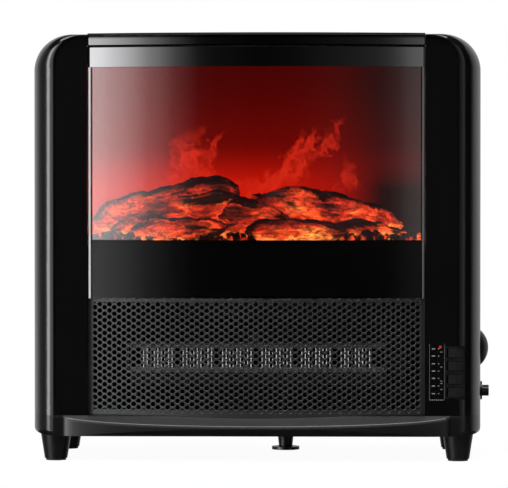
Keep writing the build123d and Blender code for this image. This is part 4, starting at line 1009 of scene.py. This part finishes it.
def print_marks(name, places, width, height, round_mark=False):
    tree, given = new_tree(name, (("Width", F), ("Height", F), ("Ink", F), ("Finish", M)))
    if round_mark:
        radius = math_node(tree, "MULTIPLY", given["Width"], 0.5)
        dot = add(tree, "GeometryNodeMeshCylinder", {"Vertices": 16, "Radius": radius, "Depth": given["Ink"]})
        mark = add(tree, "GeometryNodeTransform", {
            "Geometry": dot.outputs[0], "Rotation": (math.pi / 2, 0, 0)}).outputs[0]
    else:
        size = joined(tree, X=given["Width"], Y=given["Ink"], Z=given["Height"])
        mark = add(tree, "GeometryNodeMeshCube", {"Size": size}).outputs[0]
    close_tree(tree, real_copies(tree, given["Geometry"], mark), given["Finish"])
    spots = bpy.data.meshes.new(name)
    spots.from_pydata([on_pillar(*place) for place in places], [], [])
    values = {"Width": width, "Height": height, "Ink": INK, "Finish": legend_paint}
    on_case(apply_tree(name, spots, tree, values))


ROWS = (348.8, 356.0, 363.7, 371.0, 378.3, 386.0, 393.6)
DASH_ROWS = (352, 367, 381, 383.4, 389.5)
dots = [(438.6, row) for row in ROWS] + [(430.5 + 2 * step, 400) for step in range(7)]
print_marks("legend_rules", [(429.5, 372), (444.3, 372)], 0.0002, 0.056)
print_marks("legend_bars", [(433.4, row) for row in ROWS], 0.0032, 0.0011)
print_marks("legend_dots", dots, 0.0012, 0.0012, round_mark=True)
print_marks("legend_dashes", [(441.3, row) for row in DASH_ROWS], 0.0022, 0.0006)
print("legend marks", 2 + len(ROWS) + len(dots) + len(DASH_ROWS))


# %% A rod swept along a path
def swept_rod(name, path, radius, finish):
    curve = bpy.data.curves.new(name, "CURVE")
    curve.dimensions = "3D"
    curve.bevel_depth = radius
    curve.bevel_resolution = 5
    curve.use_fill_caps = True
    spline = curve.splines.new("POLY")
    spline.points.add(len(path) - 1)
    for point, spot in zip(spline.points, path):
        point.co = (*spot, 1)
    loose = bpy.data.objects.new(name, curve)
    scene.collection.objects.link(loose)
    mesh = baked(loose)
    bpy.data.objects.remove(loose)
    mesh.shade_smooth()
    mesh.materials.clear()
    mesh.materials.append(finish)
    made = bpy.data.objects.new(name, mesh)
    scene.collection.objects.link(made)
    on_case(made)


# %% Rolled brow on the chin
BROW_RADIUS = 0.0014
BROW_HALF, BROW_STEPS = 0.186, 96
brow_path = []
for step in range(BROW_STEPS + 1):
    x = -BROW_HALF + 2 * BROW_HALF * step / BROW_STEPS
    reach = NOSE_REACH * math.sqrt(1 - (x / CHIN_HALF) ** 2) - 0.0013
    brow_path.append((MIDDLE_X + x, RIM_Y - reach, LEDGE_TOP - BROW_RADIUS - reach * LEDGE_SLOPE))
# The brow's colour is lighter than the tray's, so its bright line is partly a painted highlight and partly the
# mirrored overhead light.
brow_highlight_finish = hard_finish("brow_satin_highlight", (0.02, 0.02, 0.0203), 0.22, bump=0.02, spread=0.06, specular=0.6)
swept_rod("chin_brow", brow_path, BROW_RADIUS, brow_highlight_finish)
print("brow points", len(brow_path))

# %% Seals and beads of the glass
SEAL_RADIUS, SEAL_BACK = 0.0021, 0.0022
BEAD_RADIUS = 0.0012
TOP_SEAL_STEPS = 48
seal_finish = finishes["rubber_black"]
glass_low, glass_high = box_of("front_glass")
window_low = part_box("tint_film")[0][2]


def upright(x, y, foot):
    return [(MIDDLE_X + x, y, foot), (MIDDLE_X + x, y, glass_high.z)]


# The left bead is painted pale: a painted reflection, the bright line on that edge of the glass.
bead_painted_reflection = hard_finish("bead_pale_reflection", (0.28, 0.28, 0.28), 0.5, bump=0.02, spread=0.06, specular=0.3)
bead_right = hard_finish("bead_grey", (0.035, 0.035, 0.035), 0.8, bump=0.02, spread=0.06, specular=0.05)
for side, label, bead_finish in ((-1, "left", bead_painted_reflection), (1, "right", bead_right)):
    seal = upright(side * (sheet_half - SEAL_RADIUS), glass_high.y + SEAL_BACK, window_low)
    swept_rod("glass_seal_" + label, seal, SEAL_RADIUS, seal_finish)
    bead_x = sheet_half - BEAD_RADIUS - 0.0006
    bead = upright(side * bead_x, glass_low.y + bow(bead_x) - BEAD_RADIUS / 3, glass_low.z)
    swept_rod("glass_bead_" + label, bead, BEAD_RADIUS, bead_finish)
trim_low, trim_high = box_of("upper_trim")
top_seal = []
for step in range(TOP_SEAL_STEPS + 1):
    x = (2 * step / TOP_SEAL_STEPS - 1) * (sheet_half - 0.001)
    top_seal.append((MIDDLE_X + x, trim_low.y + bow(x) + 0.0032, trim_high.z + 0.0006))
swept_rod("glass_seal_top", top_seal, 0.0009, seal_finish)
print("top seal points", len(top_seal))

# %% Plug of the cord gland
PLUG_FRONT, PLUG_BACK = 0.007, 0.0012
gland_low, gland_high = box_of("cord_gland")
gland_x, gland_z = (gland_low.x + gland_high.x) / 2, (gland_low.z + gland_high.z) / 2
plug = [(gland_x, gland_high.y - depth, gland_z) for depth in (PLUG_FRONT, PLUG_BACK)]
swept_rod("gland_plug", plug, 0.003, seal_finish)
print("small pieces ready")
